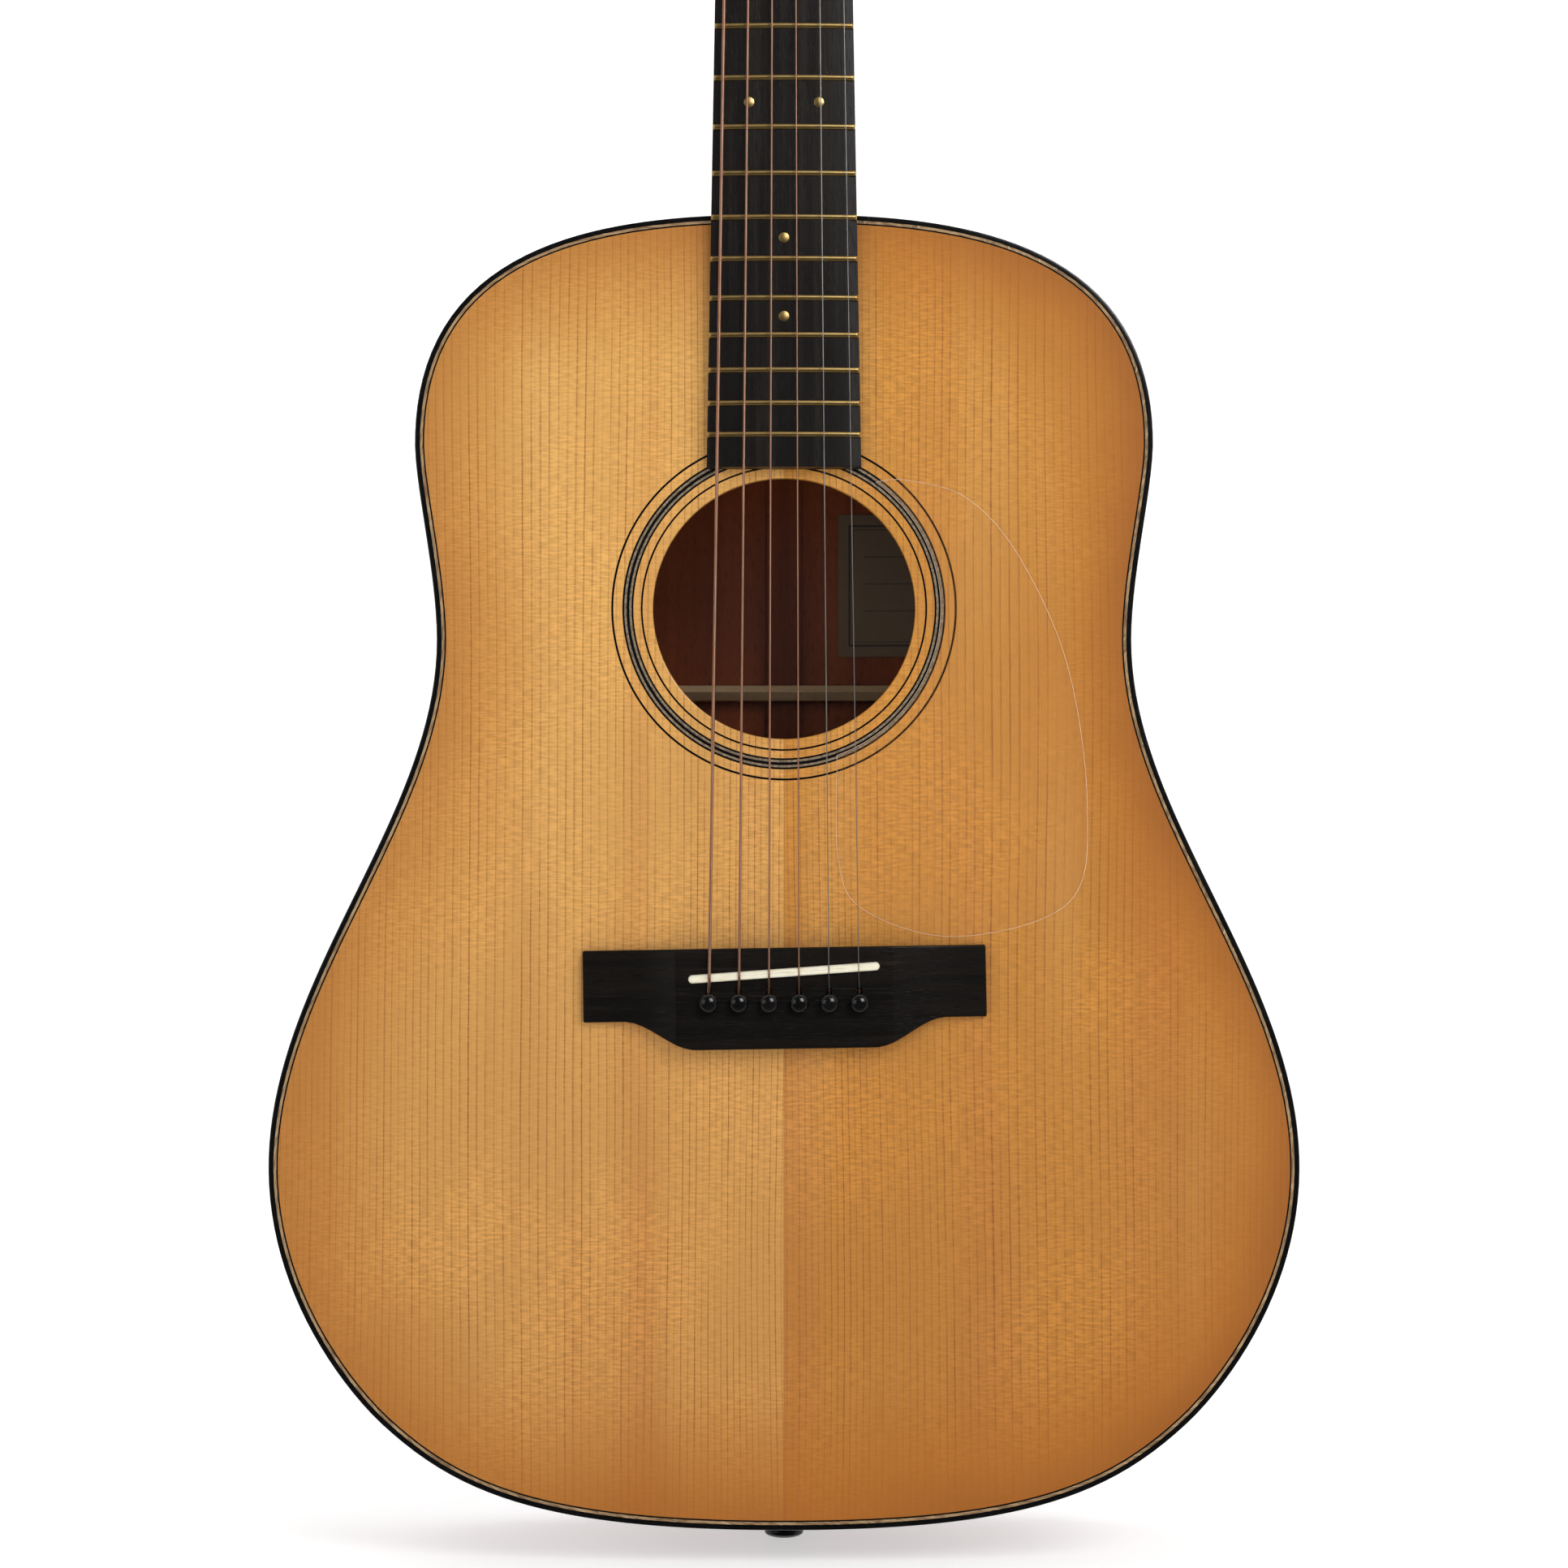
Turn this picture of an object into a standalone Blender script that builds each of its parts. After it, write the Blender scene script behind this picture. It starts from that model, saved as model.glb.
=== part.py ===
"""Steel-string acoustic guitar with a slope-shouldered body and a 14-fret neck, in metres.

The frame: +Z runs up the neck, the soundboard faces -Y, and +X is the treble side. The origin is on the
centreline at the nut's front edge, in the plane of the soundboard's face, which is also the plane that the
fingerboard is glued to. Places along the strings are measured down from the nut, as a maker does.
"""

import math

import bmesh
import bpy
from mathutils import Matrix, Vector

# Clearance between neighbouring pieces.
GAP = 0.0003

# Scale and frets.
SCALE_LENGTH = 0.64516
FRET_COUNT = 20
JOIN_FRET = 14
JOIN_STEP = 0.0028
FRET_WIDTH = 0.0022
FRET_HEIGHT = 0.001
BOARD_RADIUS = 0.4064

# Fingerboard and neck.
NUT_WIDTH = 0.04445
BOARD_END_WIDTH = 0.0592
BOARD_THICKNESS = 0.0065
BOARD_OVERHANG = 0.0125
NECK_DEPTH_AT_NUT = 0.0145
NECK_DEPTH_AT_HEEL = 0.0175
HEEL_DEPTH = 0.0915
HEEL_LENGTH = 0.019
HEEL_SWEEP = 0.054
HEEL_SQUARENESS = 0.55
HEEL_CAP_WIDTH = 0.026
HEEL_CAP_THICKNESS = 0.0022
TENON_WIDTH = 0.022
TENON_LENGTH = 0.02
ROD_RADIUS = 0.0024
ROD_DEPTH = 0.0062
ROD_NUT_LENGTH = 0.009
ROD_NUT_RADIUS = 0.004
ROD_POCKET = (0.012, 0.024)

# Nut, strings and action.
NUT_THICKNESS = 0.0055
NUT_STRING_SPREAD = 0.0385
SADDLE_STRING_SPREAD = 0.0563
STRING_DIAMETERS = (0.00135, 0.00107, 0.00081, 0.00061, 0.00041, 0.0003)
WOUND_STRINGS = 4
ACTION_AT_NUT = 0.00035
ACTION_AT_OCTAVE = 0.0021
WRAP_TURNS = 1.6
WRAP_STEPS = 8
WRAP_BASE = 0.0045

# Headstock and tuners.
HEAD_ANGLE = math.radians(14)
HEAD_THICKNESS = 0.0135
HEAD_LENGTH = 0.184
HEAD_WIDTH = 0.073
HEAD_SHOULDER = 0.042
HEAD_SHOULDER_START = 0.004
HEAD_CORNER = 0.014
HEAD_PLATE_THICKNESS = 0.0016
POST_RADIUS = 0.003
POST_SPACING = 0.04
POST_FIRST = 0.052
POST_FROM_EDGE = 0.011
POST_HEIGHT = 0.0135
GEAR_TEETH = 14
GEAR_RADIUS = 0.005
GEAR_THICKNESS = 0.0028
WORM_RADIUS = 0.002
COLLAR_RADIUS = 0.0028
TUNER_PLATE_THICKNESS = 0.001
TUNER_PLATE_WIDTH = 0.0165
EAR_THICKNESS = 0.001
EAR_SPREAD = 0.0098
KNOB_REACH = 0.0095
KNOB_LENGTH = 0.0145
KNOB_HALF_HEIGHT = 0.0082
KNOB_HALF_THICKNESS = 0.0034

# Body outline: widths, and how far down the body each lies as a share of its length.
BODY_LENGTH = 0.502
UPPER_BOUT = 0.284
WAIST = 0.2661
LOWER_BOUT = 0.391
UPPER_BOUT_AT = 0.1763
WAIST_AT = 0.3309
LOWER_BOUT_AT = 0.7269
LOWER_CORNER = (0.779, 0.708)
CORNER_SLOPE = 0.83
SHOULDER_FULLNESS = (0.39, 0.96)
UPPER_WAIST_FULLNESS = (0.223, 0.333)
LOWER_WAIST_FULLNESS = (0.339, 0.358)
HIP_FULLNESS = (0.539, 0.1225)
TAIL_FULLNESS = (0.25, 0.61)
HALF_STATIONS = 36

# Body shell.
DEPTH_AT_NECK = 0.0985
DEPTH_AT_TAIL = 0.122
TOP_THICKNESS = 0.0028
BACK_THICKNESS = 0.0027
SIDE_THICKNESS = 0.0023
BACK_ARCH = 0.004
ARCH_CENTRE = 0.52
BINDING_WIDTH = 0.00205
BINDING_DEPTH = 0.0055
LINING_THICKNESS = 0.0055
LINING_DEPTH = 0.014
NECK_BLOCK = (0.076, 0.046)
TAIL_BLOCK = (0.07, 0.022)
SOUNDHOLE_RADIUS = 0.0502
SOUNDHOLE_FROM_TOP = 0.153
HOLE_SIDES = 40

# Bracing.
TOP_BRACE = (0.008, 0.0145)
TONE_BAR = (0.007, 0.011)
BACK_BRACE = (0.0062, 0.013)
TRANSVERSE_BRACE = (0.012, 0.015)
X_ANGLE = math.radians(48.5)
X_SHARE = 0.355
TONE_BAR_SLOPE = math.radians(22)
TONE_BAR_GAP = 0.012
TONE_BAR_SPACING = 0.052
BRIDGE_PLATE_THICKNESS = 0.0025
BRIDGE_PLATE_MARGIN = 0.004
CENTRE_STRIP = (0.014, 0.0025)
BACK_BRACES_AT = (0.14, 0.352, 0.585, 0.815)
LABEL = (0.089, 0.059, 0.0003)
LABEL_CORNER = (0.0226, 0.102)

# Bridge, saddle, pins and pickguard.
BRIDGE_LENGTH = 0.153
BRIDGE_WING = 0.0272
BRIDGE_BELLY = 0.0382
BRIDGE_THICKNESS = 0.009
BRIDGE_TIP_THICKNESS = 0.0034
BRIDGE_PLATFORM = 0.041
BELLY_FLAT = 0.034
BELLY_END = 0.061
BRIDGE_SKEW = math.radians(0.9)
BRIDGE_FRONT = 0.0095
SADDLE_LENGTH = 0.0725
SADDLE_WIDTH = 0.0032
SADDLE_SLOPE = math.radians(4.1)
SADDLE_SLOT_DEPTH = 0.0048
SADDLE_COMPENSATION = 0.0023
PIN_SPREAD = 0.057
PINS_FROM_SADDLE = 0.0116
PIN_RADIUS = 0.0026
PIN_HEAD_RADIUS = 0.00365
PIN_LENGTH = 0.021
STRING_SLOT = (0.0021, 0.0061)
END_PIN_RADIUS = 0.0045
END_PIN_HEAD_RADIUS = 0.0077
END_PIN_REACH = 0.013
PICKGUARD_THICKNESS = 0.0004
PICKGUARD_ARC = 0.06
PICKGUARD_SHARES = (
    (0.0352, -0.375),
    (0.0470, -0.380),
    (0.0699, -0.328),
    (0.0900, -0.155),
    (0.1086, 0.172),
    (0.1158, 0.590),
    (0.1085, 0.868),
    (0.0661, 0.968),
    (0.0310, 0.893),
    (0.0207, 0.750),
    (0.0202, 0.437),
)


def fret_z(number):
    """Height of a fret, or of the nut for 0, on the centreline."""
    return -SCALE_LENGTH * (1 - 2 ** (-number / 12))


BODY_TOP = fret_z(JOIN_FRET) + JOIN_STEP
BOARD_END = fret_z(FRET_COUNT) - BOARD_OVERHANG
SOUNDHOLE_Z = BODY_TOP - SOUNDHOLE_FROM_TOP
SADDLE_Z = -SCALE_LENGTH - SADDLE_COMPENSATION
BRIDGE_Z = SADDLE_Z + BRIDGE_FRONT
PIN_Z = SADDLE_Z - PINS_FROM_SADDLE
STRINGS = range(len(STRING_DIAMETERS))
HEAD = Matrix.Translation((0, 0, NUT_THICKNESS)) @ Matrix.Rotation(-HEAD_ANGLE, 4, "X")
POST_X = HEAD_WIDTH / 2 - POST_FROM_EDGE
HEAD_FACE = GAP + HEAD_PLATE_THICKNESS
TUNER_PLATE_BACK = HEAD_THICKNESS + GAP + TUNER_PLATE_THICKNESS
WORM_Y = TUNER_PLATE_BACK + COLLAR_RADIUS + 2 * GAP
GEAR_FRONT = WORM_Y - GEAR_THICKNESS / 2
WORM_OFFSET = GEAR_RADIUS + GAP + WORM_RADIUS


# ---------------------------------------------------------------- shared tools


def clear_scene():
    for obj in list(bpy.data.objects):
        bpy.data.objects.remove(obj)


def finish(name, colour, roughness, metallic=0.0, alpha=1.0):
    """A material with a Principled BSDF."""
    material = bpy.data.materials.new(name)
    material.use_nodes = True
    shader = material.node_tree.nodes["Principled BSDF"]
    shader.inputs["Base Color"].default_value = (*colour, 1)
    shader.inputs["Roughness"].default_value = roughness
    shader.inputs["Metallic"].default_value = metallic
    shader.inputs["Alpha"].default_value = alpha
    material.diffuse_color = (*colour, alpha)
    return material


def add(name, data, material=None, parent=None):
    obj = bpy.data.objects.new(name, data)
    bpy.context.scene.collection.objects.link(obj)
    if material:
        data.materials.append(material)
    obj.parent = parent
    return obj


def mesh_of(name, points, faces):
    """A closed mesh with its faces turned outwards."""
    mesh = bpy.data.meshes.new(name)
    mesh.from_pydata(points, [], faces)
    shape = bmesh.new()
    shape.from_mesh(mesh)
    bmesh.ops.recalc_face_normals(shape, faces=shape.faces)
    shape.to_mesh(mesh)
    shape.free()
    return mesh


def loft(name, sections, material=None, parent=None, ring=False):
    """A skin over sections of equally many points, with its ends capped or, for a ring, joined."""
    count = len(sections[0])
    points = [point for section in sections for point in section]
    faces = []
    for i in range(len(sections) if ring else len(sections) - 1):
        first, second = i * count, (i + 1) % len(sections) * count
        for j in range(count):
            k = (j + 1) % count
            faces.append((first + j, first + k, second + k, second + j))
    if not ring:
        faces.append(tuple(range(count)))
        faces.append(tuple(range(len(points) - count, len(points))))
    return add(name, mesh_of(name, points, faces), material, parent)


def slab(name, loop, low, high, material=None, parent=None):
    """A loop of (x, z) points made solid from y = low to y = high."""
    return loft(name, [[(x, y, z) for x, z in loop] for y in (low, high)], material, parent)


def block(name, lows, highs, material=None, parent=None):
    """A box between two corners."""
    loop = [(lows[0], lows[2]), (highs[0], lows[2]), (highs[0], highs[2]), (lows[0], highs[2])]
    return slab(name, loop, lows[1], highs[1], material, parent)


def circle(radius, sides, centre=(0, 0)):
    turns = [2 * math.pi * i / sides for i in range(sides)]
    return [(centre[0] + radius * math.cos(a), centre[1] + radius * math.sin(a)) for a in turns]


def turned(name, profile, sides, material=None, parent=None):
    """A piece turned about its own Z axis. A station is (height, radius) or (height, radius, other one)."""
    sections = []
    for height, *radii in profile:
        wide, deep = radii[0], radii[-1]
        sections.append([(x * wide, y * deep, height) for x, y in circle(1, sides)])
    return loft(name, sections, material, parent)


def helper(obj):
    """Marks a cutter, which isn't a piece of the guitar."""
    obj.hide_render = True
    obj.display_type = "WIRE"
    return obj


def joined(name, objects):
    """One mesh from several closed ones, for use as a cutter or as an addition."""
    shape = bmesh.new()
    for obj in objects:
        copy = obj.data.copy()
        copy.transform(obj.matrix_basis)
        shape.from_mesh(copy)
        bpy.data.meshes.remove(copy)
    mesh = bpy.data.meshes.new(name)
    shape.to_mesh(mesh)
    shape.free()
    parent = objects[0].parent
    for obj in objects:
        bpy.data.objects.remove(obj)
    return helper(add(name, mesh, parent=parent))


def boolean(obj, other, operation="DIFFERENCE"):
    modifier = obj.modifiers.new(f"{operation.lower()} {other.name}", "BOOLEAN")
    modifier.operation = operation
    modifier.object = helper(other)


def ease(share):
    """A smooth rise from 0 to 1."""
    share = min(max(share, 0), 1)
    return share * share * (3 - 2 * share)


def between(x, stations):
    """The value at x on a line through (position, value) stations."""
    if x <= stations[0][0]:
        return stations[0][1]
    for (a, low), (b, high) in zip(stations, stations[1:]):
        if x <= b:
            return low + (high - low) * (x - a) / (b - a)
    return stations[-1][1]


def smooth_through(points, steps, closed=False):
    """A curve through the points, with the same number of steps between each two."""
    count = len(points)
    vectors = [Vector(p) for p in points]
    curve = []
    for i in range(count if closed else count - 1):
        if closed:
            a, b, c, d = (vectors[(i + k) % count] for k in (-1, 0, 1, 2))
        else:
            a, b, c, d = (vectors[min(max(i + k, 0), count - 1)] for k in (-1, 0, 1, 2))
        for j in range(steps):
            t = j / steps
            bend = (2 * a - 5 * b + 4 * c - d) * t**2 + (3 * b - a - 3 * c + d) * t**3
            curve.append(0.5 * (2 * b + (c - a) * t + bend))
    if not closed:
        curve.append(vectors[-1])
    return curve


# ---------------------------------------------------------------- body outline


def cubic(a, b, c, d, steps):
    for i in range(steps):
        t = i / steps
        u = 1 - t
        yield a * u**3 + b * (3 * u * u * t) + c * (3 * u * t * t) + d * t**3


def half_outline():
    """The treble half as (x, distance down the body), finely stepped from the neck to the tail."""
    upper = Vector((UPPER_BOUT / 2, UPPER_BOUT_AT * BODY_LENGTH))
    waist = Vector((WAIST / 2, WAIST_AT * BODY_LENGTH))
    lower = Vector((LOWER_BOUT / 2, LOWER_BOUT_AT * BODY_LENGTH))
    start = Vector((0, 0))
    tail = Vector((0, BODY_LENGTH))
    corner = Vector((lower.x * LOWER_CORNER[0], lower.y + (tail.y - lower.y) * LOWER_CORNER[1]))
    across = Vector((1, 0))
    down = Vector((0, 1))
    turning = Vector((-math.sin(CORNER_SLOPE), math.cos(CORNER_SLOPE)))
    to_waist = waist.y - upper.y
    to_lower = lower.y - waist.y
    to_corner = corner.y - lower.y
    arcs = (
        (start, across * SHOULDER_FULLNESS[0] * upper.x, down * SHOULDER_FULLNESS[1] * upper.y, upper),
        (upper, down * UPPER_WAIST_FULLNESS[0] * to_waist, down * UPPER_WAIST_FULLNESS[1] * to_waist, waist),
        (waist, down * LOWER_WAIST_FULLNESS[0] * to_lower, down * LOWER_WAIST_FULLNESS[1] * to_lower, lower),
        (lower, down * HIP_FULLNESS[0] * to_corner, turning * HIP_FULLNESS[1] * to_corner, corner),
        (corner, turning * TAIL_FULLNESS[0] * corner.x, -across * TAIL_FULLNESS[1] * corner.x, tail),
    )
    line = []
    for a, leaving, arriving, d in arcs:
        line += cubic(a, a + leaving, d - arriving, d, 40)
    return [*line, tail]


def evenly(line, steps):
    """The line's points at equal distances along it."""
    lengths = [0.0]
    for a, b in zip(line, line[1:]):
        lengths.append(lengths[-1] + (b - a).length)
    result = []
    k = 0
    for i in range(steps + 1):
        want = lengths[-1] * i / steps
        while k < len(line) - 2 and lengths[k + 1] < want:
            k += 1
        result.append(line[k].lerp(line[k + 1], (want - lengths[k]) / (lengths[k + 1] - lengths[k])))
    return result


def body_stations():
    """(point, inward normal) pairs round the body: top centre, treble side, tail, bass side."""
    half = [Vector((p.x, BODY_TOP - p.y)) for p in evenly(half_outline(), HALF_STATIONS)]
    loop = half + [Vector((-p.x, p.y)) for p in reversed(half[1:-1])]
    stations = []
    for i, point in enumerate(loop):
        along = (loop[(i + 1) % len(loop)] - loop[i - 1]).normalized()
        stations.append((point, Vector((along.y, -along.x))))
    return stations


STATIONS = body_stations()


def outline(offset):
    """The body's outline, moved inwards."""
    return [point + normal * offset for point, normal in STATIONS]


def reach(start, direction, offset):
    """How far a line runs from a point inside until it meets the outline, moved inwards."""
    loop = outline(offset)
    nearest = None
    for a, b in zip(loop, loop[1:] + loop[:1]):
        edge = b - a
        across = direction.x * edge.y - direction.y * edge.x
        if abs(across) < 1e-12:
            continue
        to_edge = a - start
        distance = (to_edge.x * edge.y - to_edge.y * edge.x) / across
        share = (to_edge.x * direction.y - to_edge.y * direction.x) / across
        if distance > 0 and -1e-9 <= share <= 1 + 1e-9:
            nearest = distance if nearest is None else min(nearest, distance)
    return nearest


def back_edge(z):
    """How deep the body is at its rim."""
    return DEPTH_AT_NECK + (DEPTH_AT_TAIL - DEPTH_AT_NECK) * (BODY_TOP - z) / BODY_LENGTH


ARCH_POINT = Vector((0, BODY_TOP - ARCH_CENTRE * BODY_LENGTH))
PLATE_EDGE = BINDING_WIDTH + GAP


def back_face(x, z):
    """The outer face of the arched back."""
    away = Vector((x, z)) - ARCH_POINT
    if away.length < 1e-9:
        return back_edge(z) + BACK_ARCH
    share = away.length / reach(ARCH_POINT, away.normalized(), PLATE_EDGE)
    return back_edge(z) + BACK_ARCH * (1 - min(share, 1) ** 2)


def back_inside(x, z):
    """Where a piece glued to the inside of the back begins."""
    return back_face(x, z) - BACK_THICKNESS - GAP


# ---------------------------------------------------------------- body shell


def band(name, edges, material, stations=STATIONS, ring=True):
    """A strip that follows the rim. Each edge is (offset inwards, function of height that gives y)."""
    sections = []
    for point, normal in stations:
        section = []
        for offset, depth in edges:
            place = point + normal * offset
            section.append((place.x, depth(place.y), place.y))
        sections.append(section)
    return loft(name, sections, material, ring=ring)


def fixed(y):
    return lambda z: y


def from_back(distance):
    return lambda z: back_edge(z) - distance


def bindings(material):
    width = BINDING_WIDTH
    front = [(0, fixed(0)), (width, fixed(0)), (width, fixed(BINDING_DEPTH)), (0, fixed(BINDING_DEPTH))]
    back = [(0, from_back(0)), (width, from_back(0)), (width, from_back(BINDING_DEPTH))]
    band("top_binding", front, material)
    band("back_binding", [*back, (0, from_back(BINDING_DEPTH))], material)


def linings(material):
    outer = SIDE_THICKNESS + GAP
    inner = outer + LINING_THICKNESS
    lip = LINING_DEPTH * 0.35
    top = TOP_THICKNESS + GAP
    back = BACK_THICKNESS + GAP
    front = [(outer, fixed(top)), (inner, fixed(top)), (inner, fixed(top + lip))]
    rear = [(outer, from_back(back)), (inner, from_back(back)), (inner, from_back(back + lip))]
    band("top_lining", [*front, (outer, fixed(top + LINING_DEPTH))], material)
    band("back_lining", [*rear, (outer, from_back(back + LINING_DEPTH))], material)


def sides(material, room_for_tenon):
    front = BINDING_DEPTH + GAP
    edges = [(0, fixed(front)), (SIDE_THICKNESS, fixed(front))]
    edges += [(SIDE_THICKNESS, from_back(front)), (0, from_back(front))]
    treble = STATIONS[: HALF_STATIONS + 1]
    bass = [(Vector((-p.x, p.y)), Vector((-n.x, n.y))) for p, n in treble]
    for name, half, away in (("side_treble", treble, GAP), ("side_bass", bass, -GAP)):
        ends = {0, len(half) - 1}
        parted = [(p + Vector((away / 2, 0)) if i in ends else p, n) for i, (p, n) in enumerate(half)]
        side = band(name, edges, material, parted, ring=False)
        boolean(side, room_for_tenon)
        boolean(side, end_pin_room())


def soundboard(material):
    board = slab("soundboard", outline(PLATE_EDGE), 0, TOP_THICKNESS, material)
    hole = slab("soundhole_cutter", circle(SOUNDHOLE_RADIUS, HOLE_SIDES, (0, SOUNDHOLE_Z)), -0.01, 0.02)
    boolean(board, helper(hole))
    boolean(board, pin_hole_cutter("soundboard_pin_holes"))


def back_plate(material):
    """The back, arched over rings that shrink towards the arch's highest point."""
    rim = outline(PLATE_EDGE)
    shares = (1, 0.7, 0.4)
    count = len(rim)
    points = []
    for inside in (0, BACK_THICKNESS):
        for share in shares:
            for corner in rim:
                place = ARCH_POINT.lerp(corner, share)
                y = back_edge(place.y) + BACK_ARCH * (1 - share**2) - inside
                points.append((place.x, y, place.y))
        points.append((0, back_face(*ARCH_POINT) - inside, ARCH_POINT.y))
    layer = len(shares) * count + 1
    faces = []
    for start in (0, layer):
        for i in range(count):
            j = (i + 1) % count
            for ring in range(len(shares) - 1):
                near, far = start + ring * count, start + (ring + 1) * count
                faces.append((near + i, near + j, far + j, far + i))
            faces.append((start + layer - 1 - count + i, start + layer - 1 - count + j, start + layer - 1))
    faces += [(i, (i + 1) % count, layer + (i + 1) % count, layer + i) for i in range(count)]
    add("back_plate", mesh_of("back_plate", points, faces), material)


def tenon_box(clearance):
    """Corners of the tenon that joins neck and body, grown by a clearance."""
    top = TOP_THICKNESS + LINING_DEPTH + 3 * GAP
    bottom = DEPTH_AT_NECK - BACK_THICKNESS - LINING_DEPTH - 4 * GAP
    low = (-TENON_WIDTH / 2 - clearance, top - clearance, BODY_TOP - TENON_LENGTH - clearance)
    high = (TENON_WIDTH / 2 + clearance, bottom + clearance, BODY_TOP + 0.006)
    return low, high


def rim_z(x, offset, end):
    """Height of the outline's top (end = 1) or tail (end = -1) at x, moved inwards."""
    return ARCH_POINT.y + end * reach(Vector((x, ARCH_POINT.y)), Vector((0, end)), offset)


def end_block(name, size, end, material):
    """A block across one end of the body, rabbeted to clear both linings."""
    half = size[0] / 2
    outer = rim_z(half, SIDE_THICKNESS + GAP, end)
    notch = rim_z(half, SIDE_THICKNESS + LINING_THICKNESS + 3 * GAP, end)
    inner = notch - end * size[1]
    front = TOP_THICKNESS + GAP
    front_notch = front + LINING_DEPTH + GAP
    near = back_inside(half, notch)
    far = back_inside(half, inner)
    back_notch = back_edge(outer) - BACK_THICKNESS - LINING_DEPTH - 3 * GAP
    back_notch = min(back_notch, back_edge(notch) - BACK_THICKNESS - LINING_DEPTH - 3 * GAP)
    profile = (
        (front, inner),
        (front, notch),
        (front_notch, notch),
        (front_notch, outer),
        (back_notch, outer),
        (back_notch, notch),
        (near, notch),
        (far, inner),
    )
    return loft(name, [[(x, y, z) for y, z in profile] for x in (-half, half)], material)


def end_pin_y():
    return back_edge(BODY_TOP - BODY_LENGTH) / 2


def end_pin_room():
    """The hole for the end pin through the tail."""
    tail = BODY_TOP - BODY_LENGTH
    hole = turned("end_pin_room", [(-0.03, END_PIN_RADIUS + GAP), (0.06, END_PIN_RADIUS + GAP)], 16)
    hole.location = (0, end_pin_y(), tail)
    return helper(hole)


def end_pin(material):
    tail = BODY_TOP - BODY_LENGTH
    head = END_PIN_HEAD_RADIUS
    neck = END_PIN_HEAD_RADIUS * 0.7
    profile = [
        (TAIL_BLOCK[1] * 0.8, END_PIN_RADIUS * 0.8),
        (-GAP / 2, END_PIN_RADIUS),
        (-GAP, head * 0.86),
        (-0.0018, head * 0.82),
        (-0.0045, neck),
        (-END_PIN_REACH * 0.62, neck * 1.04),
        (-END_PIN_REACH * 0.76, head),
        (-END_PIN_REACH * 0.9, head * 0.97),
        (-END_PIN_REACH * 0.98, head * 0.6),
        (-END_PIN_REACH, head * 0.2),
    ]
    pin = turned("end_pin", profile, 20, material)
    pin.location = (0, end_pin_y(), tail)


# ---------------------------------------------------------------- bracing


def bar(name, start, end, size, base, inwards, material, notch=None, rise=0.22):
    """A brace between two (x, z) points, rounded over and thinned towards its ends.

    base gives y where it is glued, inwards is 1 or -1 for the way it stands up, and notch is
    (half width, depth) of a step under its middle.
    """
    width, height = size
    along = (end - start).normalized()
    across = Vector((-along.y, along.x)) * width / 2
    length = (end - start).length
    shares = [0, rise * 0.4, rise, 0.5, 1 - rise, 1 - rise * 0.4, 1]
    places = [(share, 0.0) for share in shares if notch is None or share != 0.5]
    if notch:
        half, depth = notch[0] / length, notch[1]
        clear = half + 0.003
        places += [(0.5 - clear, 0.0), (0.5 - half, depth), (0.5 + half, depth), (0.5 + clear, 0.0)]
    sections = []
    for share, step in sorted(places):
        centre = start.lerp(end, share)
        from_end = min(share, 1 - share)
        tall = height * (0.22 + 0.78 * ease(from_end / rise))
        section = []
        for side, up in ((-1, 0), (-1, 0.6), (0, 1), (1, 0.6), (1, 0)):
            spot = centre + across * side
            glued = base(spot.x, spot.y)
            level = max(up * tall, step)
            section.append((spot.x, glued + inwards * level, spot.y))
        sections.append(section)
    return loft(name, sections, material)


def under_top(x, z):
    return TOP_THICKNESS + GAP


BRACE_END = SIDE_THICKNESS + LINING_THICKNESS + 4 * GAP + 0.002
HOLE_BOTTOM = SOUNDHOLE_Z - SOUNDHOLE_RADIUS
X_CROSSING = Vector((0, HOLE_BOTTOM + X_SHARE * (BRIDGE_Z - HOLE_BOTTOM)))


def x_braces(material):
    """Two long braces, halved into each other where they cross."""
    middle = TOP_THICKNESS + GAP + TOP_BRACE[1] / 2
    laps = (("x_brace_1", 1, middle - GAP / 2, 1), ("x_brace_2", -1, -1, middle + GAP / 2))
    for name, side, low, high in laps:
        down = Vector((side * math.sin(X_ANGLE), -math.cos(X_ANGLE)))
        top = X_CROSSING - down * reach(X_CROSSING, -down, BRACE_END + TOP_BRACE[0])
        bottom = X_CROSSING + down * reach(X_CROSSING, down, BRACE_END + TOP_BRACE[0])
        brace = bar(name, top, bottom, TOP_BRACE, under_top, 1, material)
        half = TOP_BRACE[0] / 2 + GAP
        other = block(f"{name}_lap", (-half, low, -0.03), (half, high, 0.03))
        other.location = (X_CROSSING.x, 0, X_CROSSING.y)
        other.rotation_euler = (0, side * X_ANGLE, 0)
        boolean(brace, other)


def transverse_brace(material):
    z = BOARD_END + TRANSVERSE_BRACE[0]
    ends = [Vector((side * reach(Vector((0, z)), Vector((1, 0)), BRACE_END + 0.001), z)) for side in (-1, 1)]
    bar("upper_transverse_brace", *ends, TRANSVERSE_BRACE, under_top, 1, material)


def arm_x(z):
    """Half the space between the legs of the X at a height below their crossing."""
    return (X_CROSSING.y - z) * math.tan(X_ANGLE) - TOP_BRACE[0] / 2 / math.cos(X_ANGLE)


PLATE_TOP = BRIDGE_Z - 0.003
PLATE_BOTTOM = BRIDGE_Z - BRIDGE_BELLY - 0.004


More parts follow.
